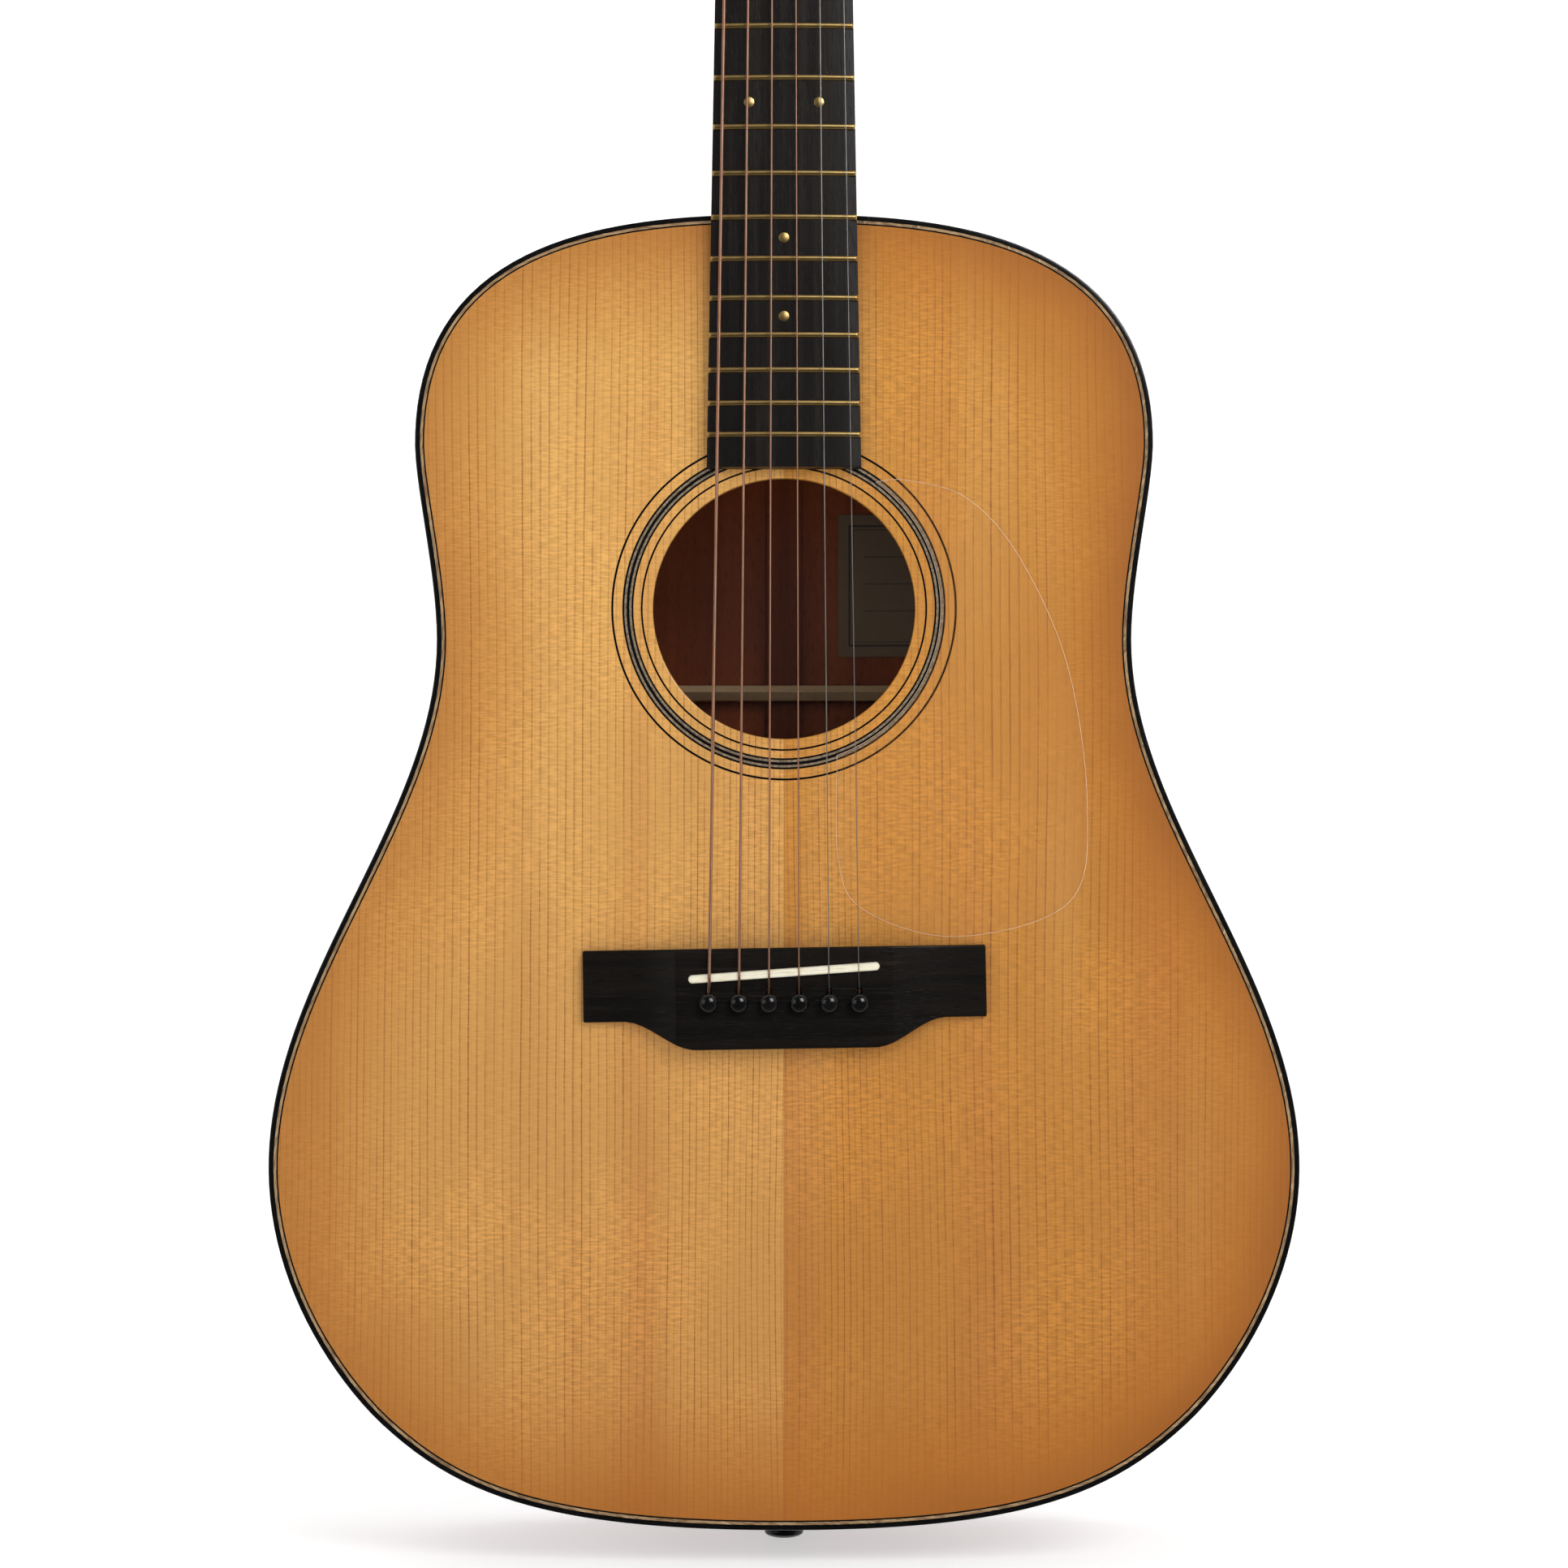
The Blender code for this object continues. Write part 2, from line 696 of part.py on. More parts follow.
def bridge_plate(material):
    widest = BRIDGE_LENGTH / 2 + 0.004
    top = min(arm_x(PLATE_TOP) - BRIDGE_PLATE_MARGIN, widest)
    bottom = min(arm_x(PLATE_BOTTOM) - BRIDGE_PLATE_MARGIN, widest)
    loop = [(-top, PLATE_TOP), (top, PLATE_TOP), (bottom, PLATE_BOTTOM), (-bottom, PLATE_BOTTOM)]
    front = TOP_THICKNESS + GAP
    plate = slab("bridge_plate", loop, front, front + BRIDGE_PLATE_THICKNESS, material)
    boolean(plate, pin_hole_cutter("plate_pin_holes"))


def tone_bars(material):
    """Two bars that run down from the treble leg of the X to the bass side."""
    leg = Vector((math.sin(X_ANGLE), -math.cos(X_ANGLE)))
    across = Vector((-math.cos(TONE_BAR_SLOPE), -math.sin(TONE_BAR_SLOPE)))
    for i in range(2):
        z = PLATE_BOTTOM - TONE_BAR_GAP - i * TONE_BAR_SPACING
        middle = Vector((0, z - BRIDGE_LENGTH / 2 * math.tan(TONE_BAR_SLOPE)))
        up = -across
        square = up.x * leg.y - up.y * leg.x
        offset = X_CROSSING - middle
        to_leg = (offset.x * leg.y - offset.y * leg.x) / square
        clear = (TOP_BRACE[0] + TONE_BAR[0]) / 2 / abs(square) + TONE_BAR[0] / 2 + 2 * GAP
        to_rim = reach(middle, up, BRACE_END + TONE_BAR[0])
        start = middle + up * min(to_leg - clear, to_rim)
        end = middle + across * reach(middle, across, BRACE_END + TONE_BAR[0])
        bar(f"tone_bar_{i + 1}", start, end, TONE_BAR, under_top, 1, material)


def back_braces(material):
    notch = (CENTRE_STRIP[0] / 2 + GAP, CENTRE_STRIP[1] + 2 * GAP)
    for i, share in enumerate(BACK_BRACES_AT):
        z = BODY_TOP - share * BODY_LENGTH
        rows = (z - BACK_BRACE[0], z + BACK_BRACE[0])
        half = min(reach(Vector((0, row)), Vector((1, 0)), BRACE_END) for row in rows)
        ends = (Vector((-half, z)), Vector((half, z)))
        bar(f"back_brace_{i + 1}", *ends, BACK_BRACE, back_inside, -1, material, notch=notch)


def centre_strip(material):
    """The strip over the joint between the back's two halves."""
    half = CENTRE_STRIP[0] / 2
    clear = SIDE_THICKNESS + LINING_THICKNESS + 5 * GAP
    top = rim_z(NECK_BLOCK[0] / 2, clear, 1) - NECK_BLOCK[1] - 0.001
    bottom = rim_z(TAIL_BLOCK[0] / 2, clear, -1) + TAIL_BLOCK[1] + 0.001
    sections = []
    for i in range(9):
        z = top + (bottom - top) * i / 8
        y = back_inside(half, z)
        inner = y - CENTRE_STRIP[1]
        sections.append([(-half, y, z), (-half, inner, z), (half, inner, z), (half, y, z)])
    loft("back_centre_strip", sections, material)


def paper_label(material):
    width, height, thickness = LABEL
    left, down = LABEL_CORNER
    top = BODY_TOP - down
    corners = [(left, top), (left + width, top), (left + width, top - height), (left, top - height)]
    sheets = [[(x, back_inside(x, z) - lift, z) for x, z in corners] for lift in (GAP, GAP + thickness)]
    loft("paper_label", sheets, material)


# ---------------------------------------------------------------- bridge


def string_share(number):
    """-0.5 for the lowest string to 0.5 for the highest."""
    return number / (len(STRING_DIAMETERS) - 1) - 0.5


def pin_x(number):
    return PIN_SPREAD * string_share(number)


def keyhole(centre_x, centre_z, radius):
    """A round hole with a slot above it for the string."""
    half = STRING_SLOT[0] / 2
    opening = math.asin(half / radius)
    loop = [(centre_x + half, centre_z + STRING_SLOT[1])]
    for i in range(13):
        angle = opening + (2 * math.pi - 2 * opening) * i / 12
        loop.append((centre_x + radius * math.sin(angle), centre_z + radius * math.cos(angle)))
    return [*loop, (centre_x - half, centre_z + STRING_SLOT[1])]


def pin_hole_cutter(name):
    holes = [slab(f"{name}_{i}", keyhole(pin_x(i), PIN_Z, PIN_RADIUS + GAP), -0.02, 0.02) for i in STRINGS]
    return joined(name, holes)


def bridge(material):
    """The bridge lies skewed by a little, with a thick platform between two thin wings."""
    thickness = (
        (BRIDGE_PLATFORM, BRIDGE_THICKNESS),
        (BRIDGE_PLATFORM + 0.005, BRIDGE_THICKNESS * 0.72),
        (BELLY_END, BRIDGE_THICKNESS * 0.48),
        (BRIDGE_LENGTH / 2, BRIDGE_TIP_THICKNESS),
    )
    edge = 0.0009
    s_curve = [BELLY_FLAT + (BELLY_END - BELLY_FLAT) * i / 8 for i in range(9)]
    stations = sorted({0, BRIDGE_PLATFORM, BRIDGE_PLATFORM + 0.005, BRIDGE_LENGTH / 2, *s_curve})
    sections = []
    for x in [-s for s in reversed(stations[1:])] + stations:
        tall = between(abs(x), thickness)
        narrowed = ease((abs(x) - BELLY_FLAT) / (BELLY_END - BELLY_FLAT))
        back = BRIDGE_BELLY - (BRIDGE_BELLY - BRIDGE_WING) * narrowed
        front_half = [(0, 0), (0, tall - edge), (edge, tall)]
        section = front_half + [(back - down, up) for down, up in reversed(front_half)]
        sections.append([(x, -GAP - up, -down) for down, up in section])
    body = loft("bridge", sections, material)
    body.location = (0, 0, BRIDGE_Z)
    body.rotation_euler = (0, -BRIDGE_SKEW, 0)
    boolean(body, pin_hole_cutter("bridge_pin_holes"))
    boolean(body, saddle_shape("saddle_slot", GAP, [(-1, 0.01), (1, 0.01)], None))


def saddle_loop(clearance):
    """Half circles at both ends of a long slot, lengthwise along X."""
    radius = SADDLE_WIDTH / 2 + clearance
    straight = SADDLE_LENGTH / 2 - SADDLE_WIDTH / 2
    turns = [math.radians(degrees) for degrees in range(-90, 91, 30)]
    right = [(straight + radius * math.cos(a), radius * math.sin(a)) for a in turns]
    return right + [(-x, -z) for x, z in right]


def saddle_shape(name, clearance, crown, material):
    """The saddle, or room for it. crown holds (share of the half length, height off the soundboard)."""
    bottom = -BRIDGE_THICKNESS + SADDLE_SLOT_DEPTH - GAP + clearance
    loop = saddle_loop(clearance)
    stations = [(share * SADDLE_LENGTH / 2, height) for share, height in crown]
    underside = [(x, bottom, z) for x, z in loop]
    top = [(x, -between(x, stations) - clearance, z) for x, z in loop]
    shape = loft(name, [underside, top], material)
    shape.location = (0, 0, SADDLE_Z)
    shape.rotation_euler = (0, -SADDLE_SLOPE, 0)
    return shape


def fret_plane(x):
    """How far the crowned fret tops stand in front of the soundboard's plane."""
    return GAP + BOARD_THICKNESS + FRET_HEIGHT - x * x / (2 * BOARD_RADIUS)


def string_clearance(z):
    """Space between the fret tops and a string's underside."""
    return ACTION_AT_NUT + (ACTION_AT_OCTAVE - ACTION_AT_NUT) * -z / (SCALE_LENGTH / 2)


def string_point(number, z):
    """A string's centre where it runs over the fingerboard and the soundhole."""
    spread = NUT_STRING_SPREAD + (SADDLE_STRING_SPREAD - NUT_STRING_SPREAD) * z / SADDLE_Z
    x = spread * string_share(number)
    return Vector((x, -fret_plane(x) - string_clearance(z) - STRING_DIAMETERS[number] / 2, z))


def saddle(material):
    """A bone saddle crowned like the fingerboard, its top just under the strings."""
    half = SADDLE_LENGTH / 2
    crown = []
    for i in range(-3, 4):
        x = half * i / 3
        crown.append((i / 3, fret_plane(x) + string_clearance(SADDLE_Z) - GAP - 0.0001))
    piece = saddle_shape("saddle", 0, crown, material)
    crown_top(piece, crown)


def crown_top(piece, crown):
    """Cuts the saddle at the crown's inner stations, so that its top follows them."""
    shape = bmesh.new()
    shape.from_mesh(piece.data)
    stations = [(share * SADDLE_LENGTH / 2, height) for share, height in crown]
    for x, _ in stations[1:-1]:
        everything = shape.verts[:] + shape.edges[:] + shape.faces[:]
        bmesh.ops.bisect_plane(shape, geom=everything, plane_co=(x, 0, 0), plane_no=(1, 0, 0))
    top = -BRIDGE_THICKNESS - GAP
    for vertex in shape.verts:
        if vertex.co.y < top:
            vertex.co.y = -between(vertex.co.x, stations)
    shape.to_mesh(piece.data)
    shape.free()


def bridge_pins(material):
    """Pins with round heads, which pull straight out of the bridge."""
    head = PIN_HEAD_RADIUS
    seat = BRIDGE_THICKNESS + 2 * GAP
    profile = [
        (seat - PIN_LENGTH, PIN_RADIUS * 0.8),
        (seat, PIN_RADIUS),
        (seat, head * 0.8),
        (seat + 0.0008, head * 0.96),
        (seat + 0.0018, head),
        (seat + 0.0032, head * 0.84),
        (seat + 0.0042, head * 0.45),
    ]
    for i in STRINGS:
        pin = turned(f"bridge_pin_{i + 1}", profile, 12, material)
        pin.location = (pin_x(i), 0, PIN_Z)
        pin.rotation_euler = (math.pi / 2, 0, 0)


def pickguard(material):
    """A clear film whose inner edge follows the rosette."""
    span = SOUNDHOLE_Z - BRIDGE_Z
    outer = smooth_through([(x, SOUNDHOLE_Z - share * span) for x, share in PICKGUARD_SHARES], 3)
    ends = []
    for end in (outer[-1], outer[0]):
        ends.append(math.atan2(end.y - SOUNDHOLE_Z, end.x))
    inner = []
    for i in range(11):
        angle = ends[0] + (ends[1] - ends[0]) * i / 10
        inner.append((PICKGUARD_ARC * math.cos(angle), SOUNDHOLE_Z + PICKGUARD_ARC * math.sin(angle)))
    loop = [(p.x, p.y) for p in outer[1:-1]] + inner
    slab("pickguard", loop, -GAP - PICKGUARD_THICKNESS, -GAP, material)


# ---------------------------------------------------------------- neck


def board_half_width(z):
    return NUT_WIDTH / 2 + (BOARD_END_WIDTH - NUT_WIDTH) / 2 * z / BOARD_END


def head_half_width(height):
    """Half the headstock's width at a height along it."""
    share = (height - HEAD_SHOULDER_START) / (HEAD_SHOULDER - HEAD_SHOULDER_START)
    shoulder = NUT_WIDTH / 2 + (HEAD_WIDTH - NUT_WIDTH) / 2 * ease(share)
    past = max(height - HEAD_LENGTH + HEAD_CORNER, 0) / HEAD_CORNER
    rounding = 1 - math.sqrt(max(1 - min(past, 1) ** 2, 0))
    return shoulder - HEAD_CORNER * rounding


def head_heights():
    """Heights at which the headstock's outline bends: up the shoulder, and round the top corners."""
    rise = HEAD_SHOULDER - HEAD_SHOULDER_START
    heights = [HEAD_SHOULDER_START + rise * share for share in (0.13, 0.32, 0.53, 0.76, 1)]
    straight = HEAD_LENGTH - HEAD_CORNER
    return heights + [straight + HEAD_CORNER * math.sin(math.radians(a)) for a in (0, 25, 50, 72, 90)]


def neck_profile(half_width, depth, squareness, narrowing=lambda y: 1):
    """Points from the treble edge round the back to the bass edge, as (x, y)."""
    box = ((1, 0), (1, 0.35), (1, 0.7), (1, 0.93), (0.93, 1), (0.5, 1), (0, 1))
    count = len(box) - 1
    half = []
    for i, (wide, deep) in enumerate(box):
        angle = math.pi / 2 * i / count
        x = math.cos(angle) * (1 - squareness) + wide * squareness
        y = math.sin(angle) ** 0.85 * (1 - squareness) + deep * squareness
        half.append((half_width * x * narrowing(depth * y), depth * y))
    return half + [(-x, y) for x, y in reversed(half[:-1])]


def heel_narrowing(y):
    """The heel is as wide as the neck at the front and as narrow as its cap at the back."""
    cap = HEEL_CAP_WIDTH / (2 * board_half_width(BODY_TOP))
    return 1 - (1 - cap) * ease((y - NECK_DEPTH_AT_HEEL) / (HEEL_DEPTH - NECK_DEPTH_AT_HEEL))


def neck(material, head_frame):
    """Shaft, heel and headstock in one piece of wood, with its tenon."""
    end = BODY_TOP + GAP
    heel_top = end + HEEL_LENGTH
    sections = []
    for z in [end, end + HEEL_LENGTH * 0.6, heel_top]:
        outline_here = neck_profile(board_half_width(z), HEEL_DEPTH, HEEL_SQUARENESS, heel_narrowing)
        sections.append([(x, y, z) for x, y in outline_here])
    for i in range(1, 9):
        share = (i / 8) ** 1.4
        z = heel_top + HEEL_SWEEP * share
        depth = NECK_DEPTH_AT_HEEL + (HEEL_DEPTH - NECK_DEPTH_AT_HEEL) * (1 - share) ** 2.3
        squareness = HEEL_SQUARENESS * (1 - share) ** 2
        outline_here = neck_profile(board_half_width(z), depth, squareness, heel_narrowing)
        sections.append([(x, y, z) for x, y in outline_here])
    shaft_start = heel_top + HEEL_SWEEP
    for share in (0.35, 0.7, 0.93, 1):
        z = shaft_start * (1 - share)
        depth = NECK_DEPTH_AT_HEEL + (NECK_DEPTH_AT_NUT - NECK_DEPTH_AT_HEEL) * share
        sections.append([(x, y, z) for x, y in neck_profile(board_half_width(z), depth, 0)])
    sections.append([(x, y, NUT_THICKNESS) for x, y in neck_profile(NUT_WIDTH / 2, NECK_DEPTH_AT_NUT, 0.1)])
    for i, height in enumerate(head_heights()):
        squareness = min(0.3 + 0.25 * i, 1)
        outline_here = neck_profile(head_half_width(height), HEAD_THICKNESS, squareness)
        sections.append([HEAD @ Vector((x, y, height)) for x, y in outline_here])
    wood = loft("neck", sections, material)
    tenon = block("tenon", *tenon_box(0))
    boolean(wood, tenon, "UNION")
    half = ROD_RADIUS + 2 * GAP
    channel = block("rod_channel", (-half, -0.01, BODY_TOP + 0.006), (half, ROD_DEPTH + half, 0.02))
    boolean(wood, channel)
    boolean(wood, rod_pocket("neck_rod_pocket"))
    boolean(wood, post_holes("neck_post_holes", head_frame))


def rod_pocket(name):
    """The recess behind the nut for the truss rod's nut."""
    width, length = ROD_POCKET
    start = NUT_THICKNESS + 0.003
    floor = ROD_DEPTH + ROD_NUT_RADIUS + 2 * GAP
    return block(name, (-width / 2, -0.02, start), (width / 2, floor, start + length))


def post_holes(name, head_frame):
    holes = []
    for side in (-1, 1):
        for row in range(3):
            loop = circle(POST_RADIUS + GAP, 12, (side * POST_X, POST_FIRST + row * POST_SPACING))
            holes.append(slab(f"{name}_{side}_{row}", loop, -0.02, 0.03, parent=head_frame))
    return joined(name, holes)


def truss_rod(rod_material, nut_material):
    """A steel rod under the fingerboard, and the nut that tightens it."""
    start = BODY_TOP + 0.008
    nut_start = NUT_THICKNESS + 0.006
    nut_end = nut_start + ROD_NUT_LENGTH
    rod = turned("truss_rod", [(start, ROD_RADIUS), (nut_end + 0.003, ROD_RADIUS)], 12, rod_material)
    rod.location = (0, ROD_DEPTH, 0)
    nut = turned("truss_rod_nut", [(nut_start, ROD_NUT_RADIUS), (nut_end, ROD_NUT_RADIUS)], 6, nut_material)
    nut.location = (0, ROD_DEPTH, 0)
    bore = turned("rod_nut_bore", [(-0.01, ROD_RADIUS + GAP), (0.05, ROD_RADIUS + GAP)], 12)
    bore.location = (0, ROD_DEPTH, 0)
    boolean(nut, bore)


def heel_cap(material):
    """A thin cap over the end of the heel."""
    end = BODY_TOP + GAP
    scale = heel_narrowing(HEEL_DEPTH)
    half = board_half_width(end) * scale
    loop = [(half, end), (half * 0.97, end + HEEL_LENGTH * 0.75), (half * 0.8, end + HEEL_LENGTH)]
    loop += [(-x, z) for x, z in reversed(loop)]
    low = HEEL_DEPTH + GAP
    slab("heel_cap", loop, low, low + HEEL_CAP_THICKNESS, material)


def fingerboard(material):
    """The crowned board, with its frets standing on it."""
    rise = [(-GAP, 0), (BOARD_END, 0)]
    half = FRET_WIDTH / 2
    for number in range(1, FRET_COUNT + 1):
        z = fret_z(number)
        rise += [(z + half, 0), (z + half * 0.4, 1), (z - half * 0.4, 1), (z - half, 0)]
    sections = []
    for z, share in sorted(rise, reverse=True):
        width = board_half_width(z)
        top = [(width * s, fret_plane(width * s) - FRET_HEIGHT * (1 - share)) for s in (1, 0.5, 0, -0.5, -1)]
        section = [(-width, -GAP, z), (width, -GAP, z)] + [(x, -y, z) for x, y in top]
        sections.append(section)
    loft("fingerboard", sections, material)


def nut(material):
    """A bone nut with a slot for each string."""
    half = NUT_WIDTH / 2
    comb = [(-half, -GAP), (-half, -fret_plane(half) - 0.0004)]
    for i in STRINGS:
        place = string_point(i, 0)
        radius = STRING_DIAMETERS[i] / 2
        crest = place.y - radius * 0.3
        bottom = place.y + radius + GAP
        comb += [(place.x - radius - GAP, crest), (place.x - radius - GAP, bottom)]
        comb += [(place.x + radius + GAP, bottom), (place.x + radius + GAP, crest)]
    comb += [(half, -fret_plane(half) - 0.0004), (half, -GAP)]
    loft("nut", [[(x, y, z) for x, y in comb] for z in (0, NUT_THICKNESS)], material)


def head_loop(low):
    """The headstock's outline in its own frame, from a height up."""
    right = [(head_half_width(h), h) for h in [low, *head_heights()]]
    return right + [(-x, h) for x, h in reversed(right)]


def head_plate(material, head_frame):
    plate = slab("head_plate", head_loop(0.002), -HEAD_FACE, -GAP, material, head_frame)
    boolean(plate, rod_pocket("plate_rod_pocket"))
    boolean(plate, post_holes("plate_post_holes", head_frame))


def rod_cover(material, head_frame):
    """A small cover over the truss rod's recess."""
    width, length = ROD_POCKET
    low, high = 0.0035, 0.0035 + length + 0.013
    right = [(width * 0.95, low), (width * 0.95, low + 0.004), (width * 0.86, low + length * 0.55)]
    right += [(width * 0.58, high - 0.006), (width * 0.3, high)]
    loop = right + [(-x, z) for x, z in reversed(right)]
    slab("truss_rod_cover", loop, -HEAD_FACE - GAP - 0.0015, -HEAD_FACE - GAP, material, head_frame)


# ---------------------------------------------------------------- tuners


def tuner_plates(material, head_frame):
    """One plate on each side carries three tuners. Its ears hold the worm shafts."""
    for name, side in (("tuner_plate_bass", -1), ("tuner_plate_treble", 1)):
        centre = side * POST_X
        half = TUNER_PLATE_WIDTH / 2
        low = POST_FIRST - WORM_OFFSET - 0.006
        high = POST_FIRST + 2 * POST_SPACING + WORM_OFFSET + 0.008
        loop = [(centre - half, low + half), (centre - half * 0.7, low + half * 0.3), (centre, low)]
        loop += [(2 * centre - x, z) for x, z in reversed(loop[:-1])]
        loop += [(2 * centre - x, low + high - z) for x, z in loop]
        plate = slab(name, loop, HEAD_THICKNESS + GAP, TUNER_PLATE_BACK, material, head_frame)
        ears, bores = [], []
        for row in range(3):
            post = POST_FIRST + row * POST_SPACING
            worm = post + WORM_OFFSET
            for place in (-1, 1):
                x = centre + place * EAR_SPREAD / 2
                corner = (x - EAR_THICKNESS / 2, HEAD_THICKNESS + 2 * GAP, worm - 0.0034)
                far = (x + EAR_THICKNESS / 2, WORM_Y + WORM_RADIUS + 0.0012, worm + 0.0034)
                ears.append(block(f"{name}_ear_{row}_{place}", corner, far, parent=head_frame))
            bore = circle(POST_RADIUS + GAP, 12, (centre, post))
            bores.append(slab(f"{name}_bore_{row}", bore, 0, 0.05, parent=head_frame))
            room = [(end, WORM_RADIUS + GAP) for end in (-TUNER_PLATE_WIDTH, TUNER_PLATE_WIDTH)]
            tunnel = turned(f"{name}_tunnel_{row}", room, 10, parent=head_frame)
            tunnel.location = (centre, WORM_Y, worm)
            tunnel.rotation_euler = (0, math.pi / 2, 0)
            bores.append(tunnel)
        boolean(plate, joined(f"{name}_ears", ears), "UNION")
        boolean(plate, joined(f"{name}_holes", bores))


def tuner_places():
    """(string number, side, height along the headstock) of each tuner, from the lowest string up."""
    bass = [(i, -1, POST_FIRST + i * POST_SPACING) for i in range(3)]
    treble = [(5 - i, 1, POST_FIRST + i * POST_SPACING) for i in range(3)]
    return sorted(bass + treble)


def tuner_posts(material, head_frame):
    """Each post carries its worm wheel behind the headstock."""
    count = 2 * GEAR_TEETH

    def ring(y, radius, root=None):
        points = []
        for i in range(count):
            reach_here = radius if root is None or i % 2 == 0 else root
            angle = 2 * math.pi * i / count
            points.append((reach_here * math.cos(angle), y, reach_here * math.sin(angle)))
        return points

    root = GEAR_RADIUS * 0.78
    top = HEAD_FACE + POST_HEIGHT
    back = GEAR_FRONT + GEAR_THICKNESS
    for number, side, height in tuner_places():
        sections = [
            ring(-top, POST_RADIUS * 0.8),
            ring(-top + 0.0005, POST_RADIUS),
            ring(GEAR_FRONT, POST_RADIUS),
            ring(GEAR_FRONT, GEAR_RADIUS, root),
            ring(back, GEAR_RADIUS, root),
            ring(back, POST_RADIUS * 0.8),
            ring(back + 0.0008, POST_RADIUS * 0.7),
        ]
        post = loft(f"tuner_post_{number + 1}", sections, material, head_frame)
        post.location = (side * POST_X, 0, height)


def tuner_worms(material, head_frame):
    """The worm shaft and its knob turn together."""
    inner = -EAR_SPREAD / 2 - EAR_THICKNESS / 2 - 0.0012
    collar = EAR_SPREAD / 2 + EAR_THICKNESS / 2 + GAP
    knob = POST_FROM_EDGE + KNOB_REACH
    tall, thin = KNOB_HALF_HEIGHT, KNOB_HALF_THICKNESS
    profile = [
        (inner, WORM_RADIUS, WORM_RADIUS),
        (collar, WORM_RADIUS, WORM_RADIUS),
        (collar, COLLAR_RADIUS, COLLAR_RADIUS),
        (collar + 0.0015, COLLAR_RADIUS, COLLAR_RADIUS),
        (collar + 0.0016, WORM_RADIUS, WORM_RADIUS),
        (knob - 0.002, WORM_RADIUS, WORM_RADIUS),
        (knob, thin, thin),
        (knob + 0.002, tall * 0.72, thin),
        (knob + KNOB_LENGTH * 0.35, tall, thin),
        (knob + KNOB_LENGTH * 0.7, tall * 0.94, thin * 0.95),
        (knob + KNOB_LENGTH * 0.93, tall * 0.66, thin * 0.75),
        (knob + KNOB_LENGTH, tall * 0.3, thin * 0.4),
    ]
    for number, side, height in tuner_places():
        worm = turned(f"tuner_worm_{number + 1}", profile, 12, material, head_frame)
        worm.location = (side * POST_X, WORM_Y, height + WORM_OFFSET)
        worm.rotation_euler = (0, side * math.pi / 2, 0)


# ---------------------------------------------------------------- strings


def string_route(number, side, height):
    """From under the bridge plate, over saddle and nut, and round the tuner's post."""
    radius = STRING_DIAMETERS[number] / 2
    slot_x, slot_z = pin_x(number), PIN_Z + PIN_RADIUS + GAP + radius + 0.0002
    over_saddle = string_point(number, SADDLE_Z)
    over_saddle.z += math.tan(SADDLE_SLOPE) * over_saddle.x
    below = TOP_THICKNESS + BRIDGE_PLATE_THICKNESS + 0.004
    surface = GAP + BRIDGE_THICKNESS
    route = [Vector((slot_x, below, slot_z)), Vector((slot_x, -surface + 0.001, slot_z))]
    route.append(Vector((slot_x, -surface, slot_z + 0.0003)))
    route.append(over_saddle + Vector((0, 0.0004, -SADDLE_WIDTH * 0.5)))
    route.append(over_saddle)
    route.append(string_point(number, 0))
    route.append(string_point(number, 0) + Vector((0, 0, NUT_THICKNESS)))
    start = HEAD.inverted() @ route[-1]
    mirrored = Vector((side * start.x, start.z))
    centre = Vector((POST_X, height))
    wrap = POST_RADIUS + GAP + radius
    to_post = centre - mirrored
    line = math.atan2(to_post.y, to_post.x) + math.asin(wrap / to_post.length)
    contact = line + math.pi / 2
    climb = (2 * radius + GAP) / (2 * math.pi)
    for i in range(int(WRAP_TURNS * WRAP_STEPS) + 1):
        turned_by = 2 * math.pi * i / WRAP_STEPS
        angle = contact - turned_by
        y = -HEAD_FACE - WRAP_BASE - radius - climb * turned_by
        x = side * (centre.x + wrap * math.cos(angle))
        route.append(HEAD @ Vector((x, y, centre.y + wrap * math.sin(angle))))
    return route


def strings(wound, plain):
    for number, side, height in tuner_places():
        curve = bpy.data.curves.new(f"string_{number + 1}", "CURVE")
        curve.dimensions = "3D"
        curve.bevel_depth = STRING_DIAMETERS[number] / 2
        curve.bevel_resolution = 2
        curve.use_fill_caps = True
        route = string_route(number, side, height)
        spline = curve.splines.new("POLY")
        spline.points.add(len(route) - 1)
        for point, place in zip(spline.points, route):
            point.co = (*place, 1)
        add(f"string_{number + 1}", curve, wound if number < WOUND_STRINGS else plain)


# ---------------------------------------------------------------- the guitar


def shade(angle=math.radians(35)):
    for obj in bpy.data.objects:
        if obj.type == "MESH" and not obj.hide_render:
            obj.data.shade_smooth()
            obj.data.set_sharp_from_angle(angle=angle)


